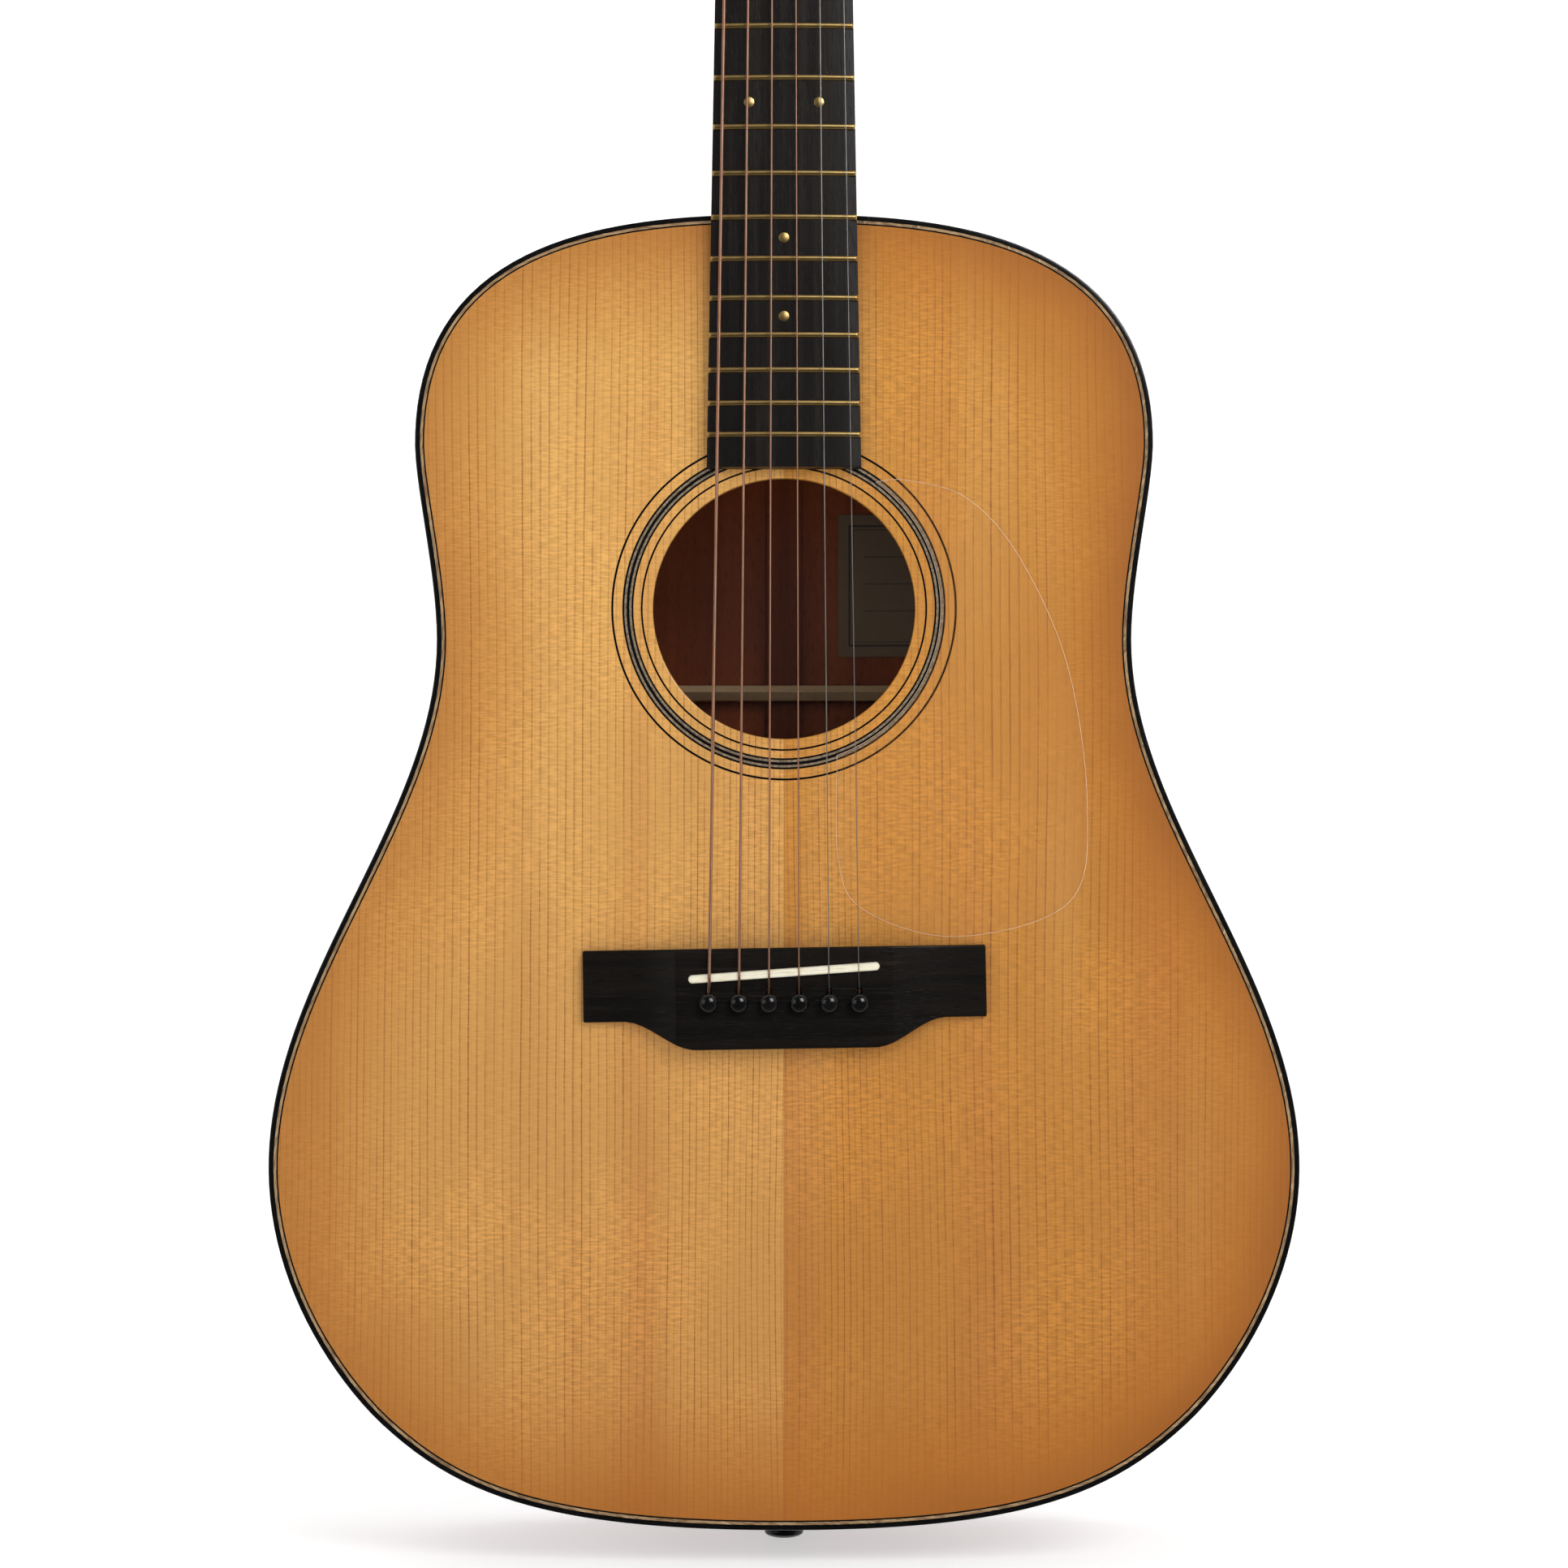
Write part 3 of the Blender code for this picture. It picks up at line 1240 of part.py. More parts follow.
def main():
    clear_scene()
    spruce = finish("spruce", (0.66, 0.42, 0.18), 0.3)
    pale_spruce = finish("brace_spruce", (0.72, 0.58, 0.4), 0.6)
    mahogany = finish("mahogany", (0.24, 0.09, 0.04), 0.35)
    neck_wood = finish("neck_mahogany", (0.26, 0.11, 0.05), 0.4)
    ebony = finish("ebony", (0.03, 0.027, 0.025), 0.45)
    rosewood = finish("rosewood", (0.06, 0.035, 0.025), 0.5)
    bone = finish("bone", (0.8, 0.75, 0.62), 0.35)
    black = finish("black_plastic", (0.012, 0.012, 0.012), 0.2)
    film = finish("clear_film", (0.9, 0.8, 0.65), 0.1, alpha=0.25)
    nickel = finish("nickel", (0.7, 0.68, 0.64), 0.25, 1)
    steel = finish("steel", (0.6, 0.6, 0.6), 0.3, 1)
    bronze = finish("bronze_winding", (0.72, 0.45, 0.3), 0.35, 1)
    paper = finish("paper", (0.8, 0.77, 0.7), 0.9)
    head_frame = add("head_frame", None)
    head_frame.matrix_basis = HEAD
    room_for_tenon = helper(block("tenon_room", *tenon_box(GAP)))

    soundboard(spruce)
    back_plate(mahogany)
    sides(mahogany, room_for_tenon)
    bindings(black)
    linings(mahogany)
    boolean(end_block("neck_block", NECK_BLOCK, 1, mahogany), room_for_tenon)
    boolean(end_block("tail_block", TAIL_BLOCK, -1, mahogany), end_pin_room())
    end_pin(black)

    x_braces(pale_spruce)
    transverse_brace(pale_spruce)
    bridge_plate(rosewood)
    tone_bars(pale_spruce)
    back_braces(pale_spruce)
    centre_strip(pale_spruce)
    paper_label(paper)

    bridge(rosewood)
    saddle(bone)
    bridge_pins(black)
    pickguard(film)

    neck(neck_wood, head_frame)
    truss_rod(steel, steel)
    heel_cap(black)
    fingerboard(ebony)
    nut(bone)
    head_plate(rosewood, head_frame)
    rod_cover(black, head_frame)

    tuner_plates(nickel, head_frame)
    tuner_posts(nickel, head_frame)
    tuner_worms(nickel, head_frame)
    strings(bronze, steel)
    shade()


main()
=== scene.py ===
"""Looks of a steel-string acoustic guitar, built round its CAD frame and laid out as an add-on.

All is in metres, in the frame's own axes: +Z up the neck, the soundboard facing -Y, +X towards the treble
side, and the origin at the nut's front edge on the centreline.
"""

import math

import bpy
from bpy.props import (
    FloatProperty,
    FloatVectorProperty,
    IntProperty,
    PointerProperty,
)
from mathutils import Matrix, Vector
from mathutils.kdtree import KDTree


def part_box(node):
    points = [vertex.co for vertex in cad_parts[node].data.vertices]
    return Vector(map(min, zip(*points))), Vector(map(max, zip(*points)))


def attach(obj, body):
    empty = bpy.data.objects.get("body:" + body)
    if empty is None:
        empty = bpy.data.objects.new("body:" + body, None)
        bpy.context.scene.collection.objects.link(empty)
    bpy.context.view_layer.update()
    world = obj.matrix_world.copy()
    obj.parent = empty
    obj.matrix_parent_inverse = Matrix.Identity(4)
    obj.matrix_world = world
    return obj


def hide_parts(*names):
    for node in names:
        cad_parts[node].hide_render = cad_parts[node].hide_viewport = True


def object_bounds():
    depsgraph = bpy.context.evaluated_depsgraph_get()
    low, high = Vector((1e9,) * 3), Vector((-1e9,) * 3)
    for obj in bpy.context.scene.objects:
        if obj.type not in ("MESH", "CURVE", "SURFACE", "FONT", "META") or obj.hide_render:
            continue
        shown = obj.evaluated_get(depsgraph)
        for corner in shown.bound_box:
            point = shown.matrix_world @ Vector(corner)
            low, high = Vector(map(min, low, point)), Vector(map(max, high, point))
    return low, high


bl_info = {
    "name": "Acoustic Guitar",
    "version": (1, 0, 0),
    "blender": (4, 5, 0),
    "location": "3D View > Sidebar > Guitar",
    "description": "Builds the looks of a steel-string acoustic guitar round its CAD frame",
    "category": "Add Mesh",
}

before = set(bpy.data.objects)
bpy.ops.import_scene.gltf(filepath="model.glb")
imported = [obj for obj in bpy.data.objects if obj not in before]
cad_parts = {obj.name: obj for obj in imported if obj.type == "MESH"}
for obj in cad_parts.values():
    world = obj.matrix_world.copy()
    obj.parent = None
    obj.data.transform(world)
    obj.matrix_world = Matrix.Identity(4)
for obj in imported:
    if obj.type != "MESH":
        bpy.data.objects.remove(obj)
CAD_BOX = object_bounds()
MANY_FACES = 60000

# Places and sizes that the frame gives.
BODY_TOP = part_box("top_binding")[1].z
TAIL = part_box("top_binding")[0].z
BODY_LENGTH = BODY_TOP - TAIL
BODY_HALF_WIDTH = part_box("top_binding")[1].x
TOP_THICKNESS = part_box("soundboard")[1].y
BINDING_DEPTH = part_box("top_binding")[1].y
BOARD_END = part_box("fingerboard")[0].z
BOARD_END_WIDTH = 2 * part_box("fingerboard")[1].x
NUT_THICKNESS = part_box("nut")[1].z
NUT_WIDTH = 2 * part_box("nut")[1].x
FLOOR = CAD_BOX[0][2]

# Sizes that the frame's boxes don't give.
GAP = 0.0003
SCALE_LENGTH = 0.64516
ROD_POCKET_WIDTH = 0.012
FRET_COUNT = 20
FRET_HEIGHT = 0.001
BOARD_RADIUS = 0.4064
BOARD_THICKNESS = 0.0065
NECK_DEPTH_AT_NUT = 0.0145
NECK_DEPTH_AT_HEEL = 0.0175
HEEL_DEPTH = 0.0915
HEEL_LENGTH = 0.019
HEEL_SWEEP = 0.054
HEEL_SQUARENESS = 0.55
HEEL_CAP_WIDTH = 0.026
HEEL_CAP_THICKNESS = 0.0022
NUT_STRING_SPREAD = 0.0385
SADDLE_STRING_SPREAD = 0.0563
STRING_DIAMETERS = (0.00135, 0.00107, 0.00081, 0.00061, 0.00041, 0.0003)
WOUND_STRINGS = 4
ACTION_AT_NUT = 0.00035
ACTION_AT_OCTAVE = 0.0021
WRAP_TURNS = 1.6
WRAP_BASE = 0.0045
SINGLE_DOTS = (3, 5, 7, 9, 15, 17)
DOUBLE_DOT = 12
DOUBLE_DOT_SPREAD = 0.0268

# Headstock and tuners, in the headstock's own tilted frame.
HEAD_ANGLE = math.radians(14)
HEAD_THICKNESS = 0.0135
HEAD_LENGTH = 0.184
HEAD_WIDTH = 0.073
HEAD_SHOULDER = 0.042
HEAD_SHOULDER_START = 0.004
HEAD_CORNER = 0.014
HEAD_PLATE_THICKNESS = 0.0016
HEAD_FACE = GAP + HEAD_PLATE_THICKNESS
HEAD = Matrix.Translation((0, 0, NUT_THICKNESS)) @ Matrix.Rotation(-HEAD_ANGLE, 4, "X")
POST_RADIUS = 0.003
POST_SPACING = 0.04
POST_FIRST = 0.052
POST_X = HEAD_WIDTH / 2 - 0.011
POST_HEIGHT = 0.0135
GEAR_TEETH = 14
GEAR_RADIUS = 0.005
GEAR_THICKNESS = 0.0028
WORM_RADIUS = 0.002
COLLAR_RADIUS = 0.0028
TUNER_PLATE_WIDTH = 0.0165
TUNER_PLATE_THICKNESS = 0.001
TUNER_PLATE_BACK = HEAD_THICKNESS + GAP + TUNER_PLATE_THICKNESS
EAR_THICKNESS = 0.001
EAR_SPREAD = 0.0098
WORM_Y = TUNER_PLATE_BACK + COLLAR_RADIUS + 2 * GAP
GEAR_FRONT = WORM_Y - GEAR_THICKNESS / 2
WORM_OFFSET = GEAR_RADIUS + GAP + WORM_RADIUS
KNOB_START = 0.0205
KNOB_LENGTH = 0.0145
KNOB_HALF_HEIGHT = 0.0082
KNOB_HALF_THICKNESS = 0.0034

# The body's outline: widths, and how far down the body each lies as a share of its length.
UPPER_BOUT = 0.284
WAIST = 0.2661
UPPER_BOUT_AT = 0.1763
WAIST_AT = 0.3309
LOWER_BOUT_AT = 0.7269
LOWER_CORNER = (0.779, 0.708)
CORNER_SLOPE = 0.83
SHOULDER_FULLNESS = (0.39, 0.96)
UPPER_WAIST_FULLNESS = (0.223, 0.333)
LOWER_WAIST_FULLNESS = (0.339, 0.358)
HIP_FULLNESS = (0.539, 0.1225)
TAIL_FULLNESS = (0.25, 0.61)

# Body shell, bridge and pickguard.
DEPTH_AT_NECK = 0.0985
DEPTH_AT_TAIL = 0.122
BACK_THICKNESS = 0.0027
SIDE_THICKNESS = 0.0023
BACK_ARCH = 0.004
ARCH_CENTRE = 0.52
LINING_THICKNESS = 0.0055
LINING_DEPTH = 0.014
SOUNDHOLE_RADIUS = 0.0502
SOUNDHOLE_Z = BODY_TOP - 0.153
BRIDGE_LENGTH = 0.153
BRIDGE_WING = 0.0272
BRIDGE_BELLY = 0.0382
BRIDGE_THICKNESS = 0.009
BRIDGE_TIP_THICKNESS = 0.0034
BRIDGE_PLATFORM = 0.041
BELLY_FLAT = 0.034
BELLY_END = 0.061
BRIDGE_SKEW = math.radians(0.9)
SADDLE_Z = -SCALE_LENGTH - 0.0023
BRIDGE_Z = SADDLE_Z + 0.0095
SADDLE_LENGTH = 0.0725
SADDLE_WIDTH = 0.0032
SADDLE_SLOPE = math.radians(4.1)
SADDLE_SLOT_DEPTH = 0.0048
PIN_SPREAD = 0.057
PIN_Z = SADDLE_Z - 0.0116
PIN_RADIUS = 0.0026
PIN_HEAD_RADIUS = 0.00365
PIN_LENGTH = 0.021
STRING_SLOT_WIDTH = 0.0021
END_PIN_REACH = 0.013
PICKGUARD_THICKNESS = 0.0004
PICKGUARD_ARC = 0.06
PICKGUARD_SHARES = (
    (0.0352, -0.375),
    (0.0470, -0.380),
    (0.0699, -0.328),
    (0.0900, -0.155),
    (0.1086, 0.172),
    (0.1158, 0.590),
    (0.1085, 0.868),
    (0.0661, 0.968),
    (0.0310, 0.893),
    (0.0207, 0.750),
    (0.0202, 0.437),
)


# ---------------------------------------------------------------- settings


def linear(red, green, blue):
    """A display colour from 0 to 255 in the linear values that shaders take."""
    shares = (red / 255, green / 255, blue / 255)
    return tuple(v / 12.92 if v < 0.0405 else ((v + 0.055) / 1.055) ** 2.4 for v in shares)


def length(name, description, default):
    """A setting that is a length in metres."""
    words = {"name": name, "description": description}
    return FloatProperty(**words, default=default, min=0, unit="LENGTH", precision=5)


def colour(name, description, default):
    """A setting that is a linear colour."""
    words = {"name": name, "description": description}
    return FloatVectorProperty(**words, default=default, size=3, min=0, max=1, subtype="COLOR")


class GuitarSizes(bpy.types.PropertyGroup):
    outline_steps: IntProperty(
        name="Outline Steps",
        description="Stations round half of the body",
        default=140,
        min=36,
    )
    binding_width: length("Binding", "Width of the binding on the face", 0.00205)
    purfling_width: length("Purfling", "Width of the light strip inside the binding", 0.00105)
    line_width: length("Line", "Width of the dark line inside the purfling", 0.0006)
    fret_width: length("Fret Width", "Width of a fret's crown", 0.0021)
    dot_diameter: length("Dot", "Diameter of a position dot", 0.004)
    side_dot_diameter: length("Side Dot", "Diameter of a dot on the fingerboard's edge", 0.002)
    winding_pitch: FloatVectorProperty(
        name="Winding Pitch",
        description="Diameter of the wire wound round each of the four lower strings",
        default=(0.00046, 0.0004, 0.00034, 0.00028),
        size=4,
        unit="LENGTH",
        precision=5,
    )
    thread_pitch: length("Thread Pitch", "Pitch of the tuners' worms", 0.002)
    graft_width: length("End Graft", "Width of the strip over the joint at the tail", 0.012)


class GuitarColours(bpy.types.PropertyGroup):
    spruce_bass: colour("Spruce, Bass", "Light wood of the bass half", linear(218, 163, 84))
    spruce_treble: colour("Spruce, Treble", "Light wood of the treble half", linear(199, 136, 50))
    spruce_line: colour("Spruce Line", "Late wood in the soundboard's grain", linear(142, 72, 26))
    spruce_toner: colour("Toner", "Amber toner at the soundboard's edge", linear(168, 98, 12))
    mahogany: colour("Mahogany", "Light parts of the back and sides", linear(128, 66, 40))
    mahogany_dark: colour("Mahogany Dark", "Dark ribbons of the back and sides", linear(84, 38, 24))
    neck: colour("Neck", "Light parts of the neck", linear(134, 76, 46))
    brace: colour("Bracing", "Bare spruce of the braces", linear(214, 186, 146))
    ebony: colour("Ebony", "Fingerboard", linear(22, 19, 18))
    rosewood: colour("Rosewood", "Bridge and headstock overlay", linear(25, 18, 13))
    black: colour("Black", "Bindings, pins and caps", linear(12, 11, 11))
    purfling: colour("Purfling", "Light strip inside the binding", linear(168, 138, 98))
    ring: colour("Ring", "Light rings of the rosette", linear(150, 132, 106))
    bone: colour("Bone", "Nut and saddle", linear(236, 228, 206))
    brass: colour("Brass", "Frets and position dots", linear(250, 214, 140))
    nickel: colour("Nickel", "Tuners", linear(206, 200, 188))
    steel: colour("Steel", "Plain strings", linear(216, 214, 210))
    bronze: colour("Bronze", "Wound strings", linear(240, 190, 162))
    button: colour("Button", "Tuner buttons", linear(226, 218, 198))
    # The label's colour is cream darkened in part as painted shade, for the shade inside the body.
    paper: colour("Paper", "Label", linear(116, 96, 76))


class StudioSettings(bpy.types.PropertyGroup):
    camera_distance: length("Distance", "From the soundboard's plane to the camera", 1.2)
    camera_height: FloatProperty(
        name="Height", description="Camera's height in the guitar's frame", default=-0.6496, unit="LENGTH"
    )
    camera_tilt: FloatProperty(
        name="Tilt", description="How far the camera looks up", default=math.radians(3.533), subtype="ANGLE"
    )
    lens: FloatProperty(name="Lens", description="Focal length in millimetres", default=72.3, min=10)
    glow: FloatProperty(name="Backdrop Glow", description="Light that the backdrop gives", default=0.5, min=0)
    sky: FloatProperty(name="Sky", description="Brightness of the light from all round", default=0.36, min=0)
    key: FloatProperty(name="Key Light", description="Power of the upper right light", default=50, min=0)
    fill: FloatProperty(name="Fill Light", description="Power of the light at the left", default=6.5, min=0)
    floor: colour("Floor", "Floor and backdrop", (0.93, 0.93, 0.93))


def sizes():
    return bpy.context.scene.guitar_sizes


def colours():
    return bpy.context.scene.guitar_colours


# ---------------------------------------------------------------- shaders


class Wire:
    """A value in a finish. Arithmetic on it adds Math nodes."""

    def __init__(self, finish, socket):
        self.finish = finish
        self.socket = socket

    def __add__(self, other):
        return self.finish.math("ADD", self, other)

    def __sub__(self, other):
        return self.finish.math("SUBTRACT", self, other)

    def __mul__(self, other):
        return self.finish.math("MULTIPLY", self, other)

    def __truediv__(self, other):
        return self.finish.math("DIVIDE", self, other)

    def __rsub__(self, other):
        return self.finish.math("SUBTRACT", other, self)

    def __abs__(self):
        return self.finish.math("ABSOLUTE", self)

    __radd__ = __add__
    __rmul__ = __mul__

    def floor(self):
        return self.finish.math("FLOOR", self)

    def fraction(self):
        return self.finish.math("FRACT", self)

    def sine(self):
        return self.finish.math("SINE", self)

    def rise(self, low, high):
        """Climbs smoothly from 0 at low to 1 at high."""
        settings = {"interpolation_type": "SMOOTHSTEP"}
        return self.finish.wire("ShaderNodeMapRange", settings, {0: self, 1: low, 2: high})


class Finish:
    """A material under construction."""

    def __init__(self, name):
        self.material = bpy.data.materials.new(name)
        self.material.use_nodes = True
        self.tree = self.material.node_tree
        self.shader = self.tree.nodes["Principled BSDF"]

    def node(self, kind, settings=None, sockets=None):
        """Adds a node: its settings first, then its sockets' values or links."""
        node = self.tree.nodes.new(kind)
        for name, value in (settings or {}).items():
            setattr(node, name, value)
        for name, value in (sockets or {}).items():
            self.feed(node.inputs[name], value)
        return node

    def feed(self, socket, value):
        if isinstance(value, Wire):
            self.tree.links.new(value.socket, socket)
        elif socket.type == "RGBA":
            socket.default_value = (*value, 1) if not isinstance(value, float) else (value, value, value, 1)
        else:
            socket.default_value = value

    def wire(self, kind, settings=None, sockets=None, output=0):
        return Wire(self, self.node(kind, settings, sockets).outputs[output])

    def math(self, operation, *values):
        return self.wire("ShaderNodeMath", {"operation": operation}, dict(enumerate(values)))

    def parts(self, vector):
        node = self.node("ShaderNodeSeparateXYZ", sockets={0: vector})
        return [Wire(self, socket) for socket in node.outputs]

    def place(self):
        """The three coordinates of a point in the guitar's frame."""
        return self.parts(self.wire("ShaderNodeTexCoord", output="Object"))

    def surface(self):
        """Where a point lies on its piece's own UV map, in metres."""
        return self.parts(self.wire("ShaderNodeTexCoord", output="UV"))[:2]

    def attribute(self, name):
        return self.wire("ShaderNodeAttribute", {"attribute_name": name}, output="Fac")

    def noise(self, x, y, z, detail=2.0, roughness=0.5):
        """Noise about 0.5, on coordinates that are already scaled."""
        vector = self.wire("ShaderNodeCombineXYZ", sockets={0: x, 1: y, 2: z})
        sockets = {"Vector": vector, "Scale": 1.0, "Detail": detail, "Roughness": roughness}
        return self.wire("ShaderNodeTexNoise", sockets=sockets)

    def random(self, number):
        """A fixed random value from 0 to 1 for each whole number."""
        return self.wire("ShaderNodeTexWhiteNoise", {"noise_dimensions": "1D"}, {"W": number})

    def blend(self, share, first, second, kind="MIX"):
        """A colour between two, or the second laid over the first in another way."""
        settings = {"data_type": "RGBA", "blend_type": kind}
        return self.wire("ShaderNodeMix", settings, {0: share, 6: first, 7: second}, output=2)

    def done(self, base, roughness, bump=None, **constants):
        """Feeds the shader. bump is (height, depth in metres)."""
        self.feed(self.shader.inputs["Base Color"], base)
        self.feed(self.shader.inputs["Roughness"], roughness)
        for name, value in constants.items():
            self.feed(self.shader.inputs[name.replace("_", " ")], value)
        if bump:
            sockets = {"Height": bump[0], "Distance": bump[1], "Strength": 1.0}
            self.feed(self.shader.inputs["Normal"], self.wire("ShaderNodeBump", sockets=sockets))
        return self.material


BARE = {"Specular_IOR_Level": 0.2}
LACQUER = {"Coat_Weight": 1.0, "Coat_Roughness": 0.07, "Coat_IOR": 1.5, "IOR": 1.4}


def soundboard_spruce():
    """Straight-grained spruce, its halves mirrored about the joint, under lacquer toned at the edges."""
    shades = colours()
    finish = Finish("soundboard_spruce")
    x, _, z = finish.place()
    treble = x.rise(-0.0001, 0.0001)
    across = abs(x)
    drift = finish.noise(across * 9, treble * 4, z * 3.2, 1.0) * 0.009
    tremble = finish.noise(across * 60, treble * 4, z * 34, 2.0) * 0.00045
    ruler = across + drift + tremble
    rings = ruler * 365 + (ruler * 31).sine() * 2.4
    number = rings.floor() + treble * 300
    share = rings.fraction()
    strength = finish.random(number) * 0.6 + 0.4
    patches = finish.noise(rings * 0.5, treble * 9, z * 14, 2.0).rise(0.3, 0.62) * 0.6 + 0.4
    silk_patches = finish.noise(x * 16, 3.0, z * 11, 2.0).rise(0.34, 0.68)
    silk = finish.noise(x * 210, 1.0, z * 1150, 2.0, 0.6).rise(0.38, 0.64)
    late = share.rise(0.72, 0.92) * (1 - share.rise(0.93, 1.0)) * strength * patches * (1 - silk * 0.45)
    twin = rings * 2.7 + 0.4
    faint = twin.fraction().rise(0.6, 0.95) * finish.random(twin.floor() + 700) * 0.14
    early = share * 0.06
    line = late * 0.9 + faint + early

    wood = finish.blend(treble, shades.spruce_bass, shades.spruce_treble)
    centre_band = x.rise(0.0, 0.0008) * (1 - x.rise(0.006, 0.017)) * (1 - z.rise(-0.69, -0.6))
    ruddy = finish.noise(x * 24, 2.0, z * 1.7, 2.0).rise(0.52, 0.74) * 0.5 + centre_band * 0.42
    wood = finish.blend(ruddy, wood, linear(190, 120, 54))
    pale = finish.noise(x * 17, 7.0, z * 2.2, 2.0).rise(0.5, 0.75) * 0.4
    wood = finish.blend(pale, wood, linear(224, 176, 102))
    low = 1 - z.rise(-0.86, -0.44)
    wood = finish.blend(low * 0.42, wood, linear(160, 96, 26))
    wood = finish.blend(line, wood, shades.spruce_line)

    fibre = finish.noise(x * 2600, 4.0, z * 60, 2.0, 0.6)
    glow = silk * (silk_patches * 0.2 + 0.09) + fibre * 0.12 + 0.81
    wood = finish.blend(1.0, wood, glow, "MULTIPLY")

    edge = finish.attribute("from_edge") + (finish.noise(x * 13, 5.0, z * 13, 2.0) - 0.5) * 0.022
    lean = x.rise(-0.25, 0.2) * 0.3 + (1 - z.rise(-0.86, -0.62)) * 0.14 + 0.56
    toned = 1 - edge.rise(-0.004, 0.062)
    wood = finish.blend(toned * lean, wood, shades.spruce_toner, "MIX")
    rim = (1 - edge.rise(-0.006, 0.022)) * (x.rise(-0.1, 0.19) * 0.35 + 0.15)
    wood = finish.blend(rim, wood, linear(128, 66, 16))
    joint = (1 - across.rise(0.00008, 0.0003)) * 0.35
    wood = finish.blend(joint, wood, linear(120, 72, 34))
    height = line * -0.5 + finish.noise(x * 45, 8.0, z * 45, 2.0) * 1.2
    return finish.done(wood, silk * 0.1 + 0.38, (height, 0.00006), **LACQUER)


def ribbon_wood(light, dark, across, along, depth, finish, lacquer):
    """Mahogany: ribbons along the grain, and short dark pores."""
    bend = finish.noise(across * 6, depth, along * 2.4, 1.0) * 0.03
    ruler = across + bend
    ribbons = finish.noise(ruler * 38, depth, along * 1.6, 3.0, 0.55)
    streaks = finish.noise(ruler * 420, depth, along * 7, 2.0, 0.6)
    flame = finish.noise(ruler * 26, depth + 5.0, along * 21, 2.0)
    tone = ribbons.rise(0.3, 0.68) * 0.6 + streaks * 0.34 + flame * 0.16 - 0.08
    wood = finish.blend(tone, dark, light)
    pores = finish.noise(ruler * 2600, depth, along * 200, 1.0).rise(0.6, 0.7)
    wood = finish.blend(pores * 0.5, wood, linear(44, 20, 13))
    gloss = finish.noise(across * 9, 1.0, along * 9, 2.0) * 0.12
    return finish.done(wood, gloss + (0.34 if lacquer else 0.5), (pores * -1.0, 0.00003), **lacquer)


def back_mahogany():
    """The back's outer face: two mirrored halves under gloss lacquer."""
    shades = colours()
    finish = Finish("back_mahogany")
    x, _, z = finish.place()
    return ribbon_wood(shades.mahogany, shades.mahogany_dark, abs(x), z, 1.0, finish, LACQUER)


def bare_mahogany():
    """Unfinished mahogany inside the body, its halves mirrored about the centre joint."""
    finish = Finish("bare_mahogany")
    x, _, z = finish.place()
    return ribbon_wood(linear(150, 70, 26), linear(92, 38, 14), abs(x), z, 3.0, finish, BARE)


def side_mahogany():
    """The sides, their grain running round the body."""
    shades = colours()
    finish = Finish("side_mahogany")
    across, along = finish.surface()
    return ribbon_wood(shades.mahogany, shades.mahogany_dark, across, along, 2.0, finish, LACQUER)


def neck_mahogany():
    """The neck under satin lacquer."""
    shades = colours()
    finish = Finish("neck_mahogany")
    x, y, z = finish.place()
    satin = {"Coat_Weight": 0.6, "Coat_Roughness": 0.3}
    return ribbon_wood(shades.neck, linear(98, 50, 30), x + y * 0.35, z, y * 20, finish, satin)


def lining_wood():
    """Bare mahogany blocks."""
    finish = Finish("lining_wood")
    x, y, z = finish.place()
    return ribbon_wood(linear(158, 104, 70), linear(120, 70, 44), x, z, y * 30, finish, BARE)


def kerfed_lining():
    """Bare lining with a saw cut every few millimetres, each drawn as a dent with painted shade in it."""
    finish = Finish("kerfed_lining")
    across, along = finish.surface()
    cut = (along * 160).fraction().rise(0.78, 0.86) * (1 - (along * 160).fraction().rise(0.94, 1.0))
    grain = finish.noise(across * 900, 1.0, along * 50, 2.0)
    wood = finish.blend(grain, linear(170, 116, 80), linear(136, 84, 54))
    # Painted shade: the dark colour in each saw cut stands for the shade inside the cut.
    wood = finish.blend(cut * 0.85, wood, linear(40, 22, 14))
    return finish.done(wood, grain * 0.1 + 0.55, (cut * -1.0, 0.0008))


def brace_spruce():
    """Bare quarter-sawn spruce, its lines on edge."""
    shades = colours()
    finish = Finish("brace_spruce")
    x, y, z = finish.place()
    wander = finish.noise(x * 12, y * 12, z * 12, 2.0) * 0.002
    rings = (y + wander) * 900
    line = rings.fraction().rise(0.5, 0.95) * (1 - rings.fraction().rise(0.95, 1.0))
    fibre = finish.noise(x * 500, y * 1600, z * 500, 2.0, 0.6)
    wood = finish.blend(line * 0.5, shades.brace, linear(176, 134, 90))
    wood = finish.blend(1.0, wood, fibre * 0.3 + 0.8, "MULTIPLY")
    return finish.done(wood, fibre * 0.2 + 0.5, (fibre, 0.00008))


def ebony():
    """Near-black fingerboard wood with fine pores along the grain, and a handled sheen."""
    shades = colours()
    finish = Finish("ebony")
    x, y, z = finish.place()
    streak = finish.noise(x * 260, y * 260, z * 5, 3.0, 0.6)
    wood = finish.blend(streak.rise(0.4, 0.8), shades.ebony, linear(40, 34, 30))
    pores = finish.noise(x * 2600, y * 2600, z * 150, 1.0).rise(0.6, 0.68)
    wood = finish.blend(pores * 0.75, wood, linear(14, 13, 13))
    worn = finish.noise(x * 40, y * 40, z * 26, 2.0)
    relief = (pores * -1.0 + streak * 0.4, 0.00005)
    return finish.done(wood, worn * 0.18 + 0.24, relief, Specular_IOR_Level=0.3)


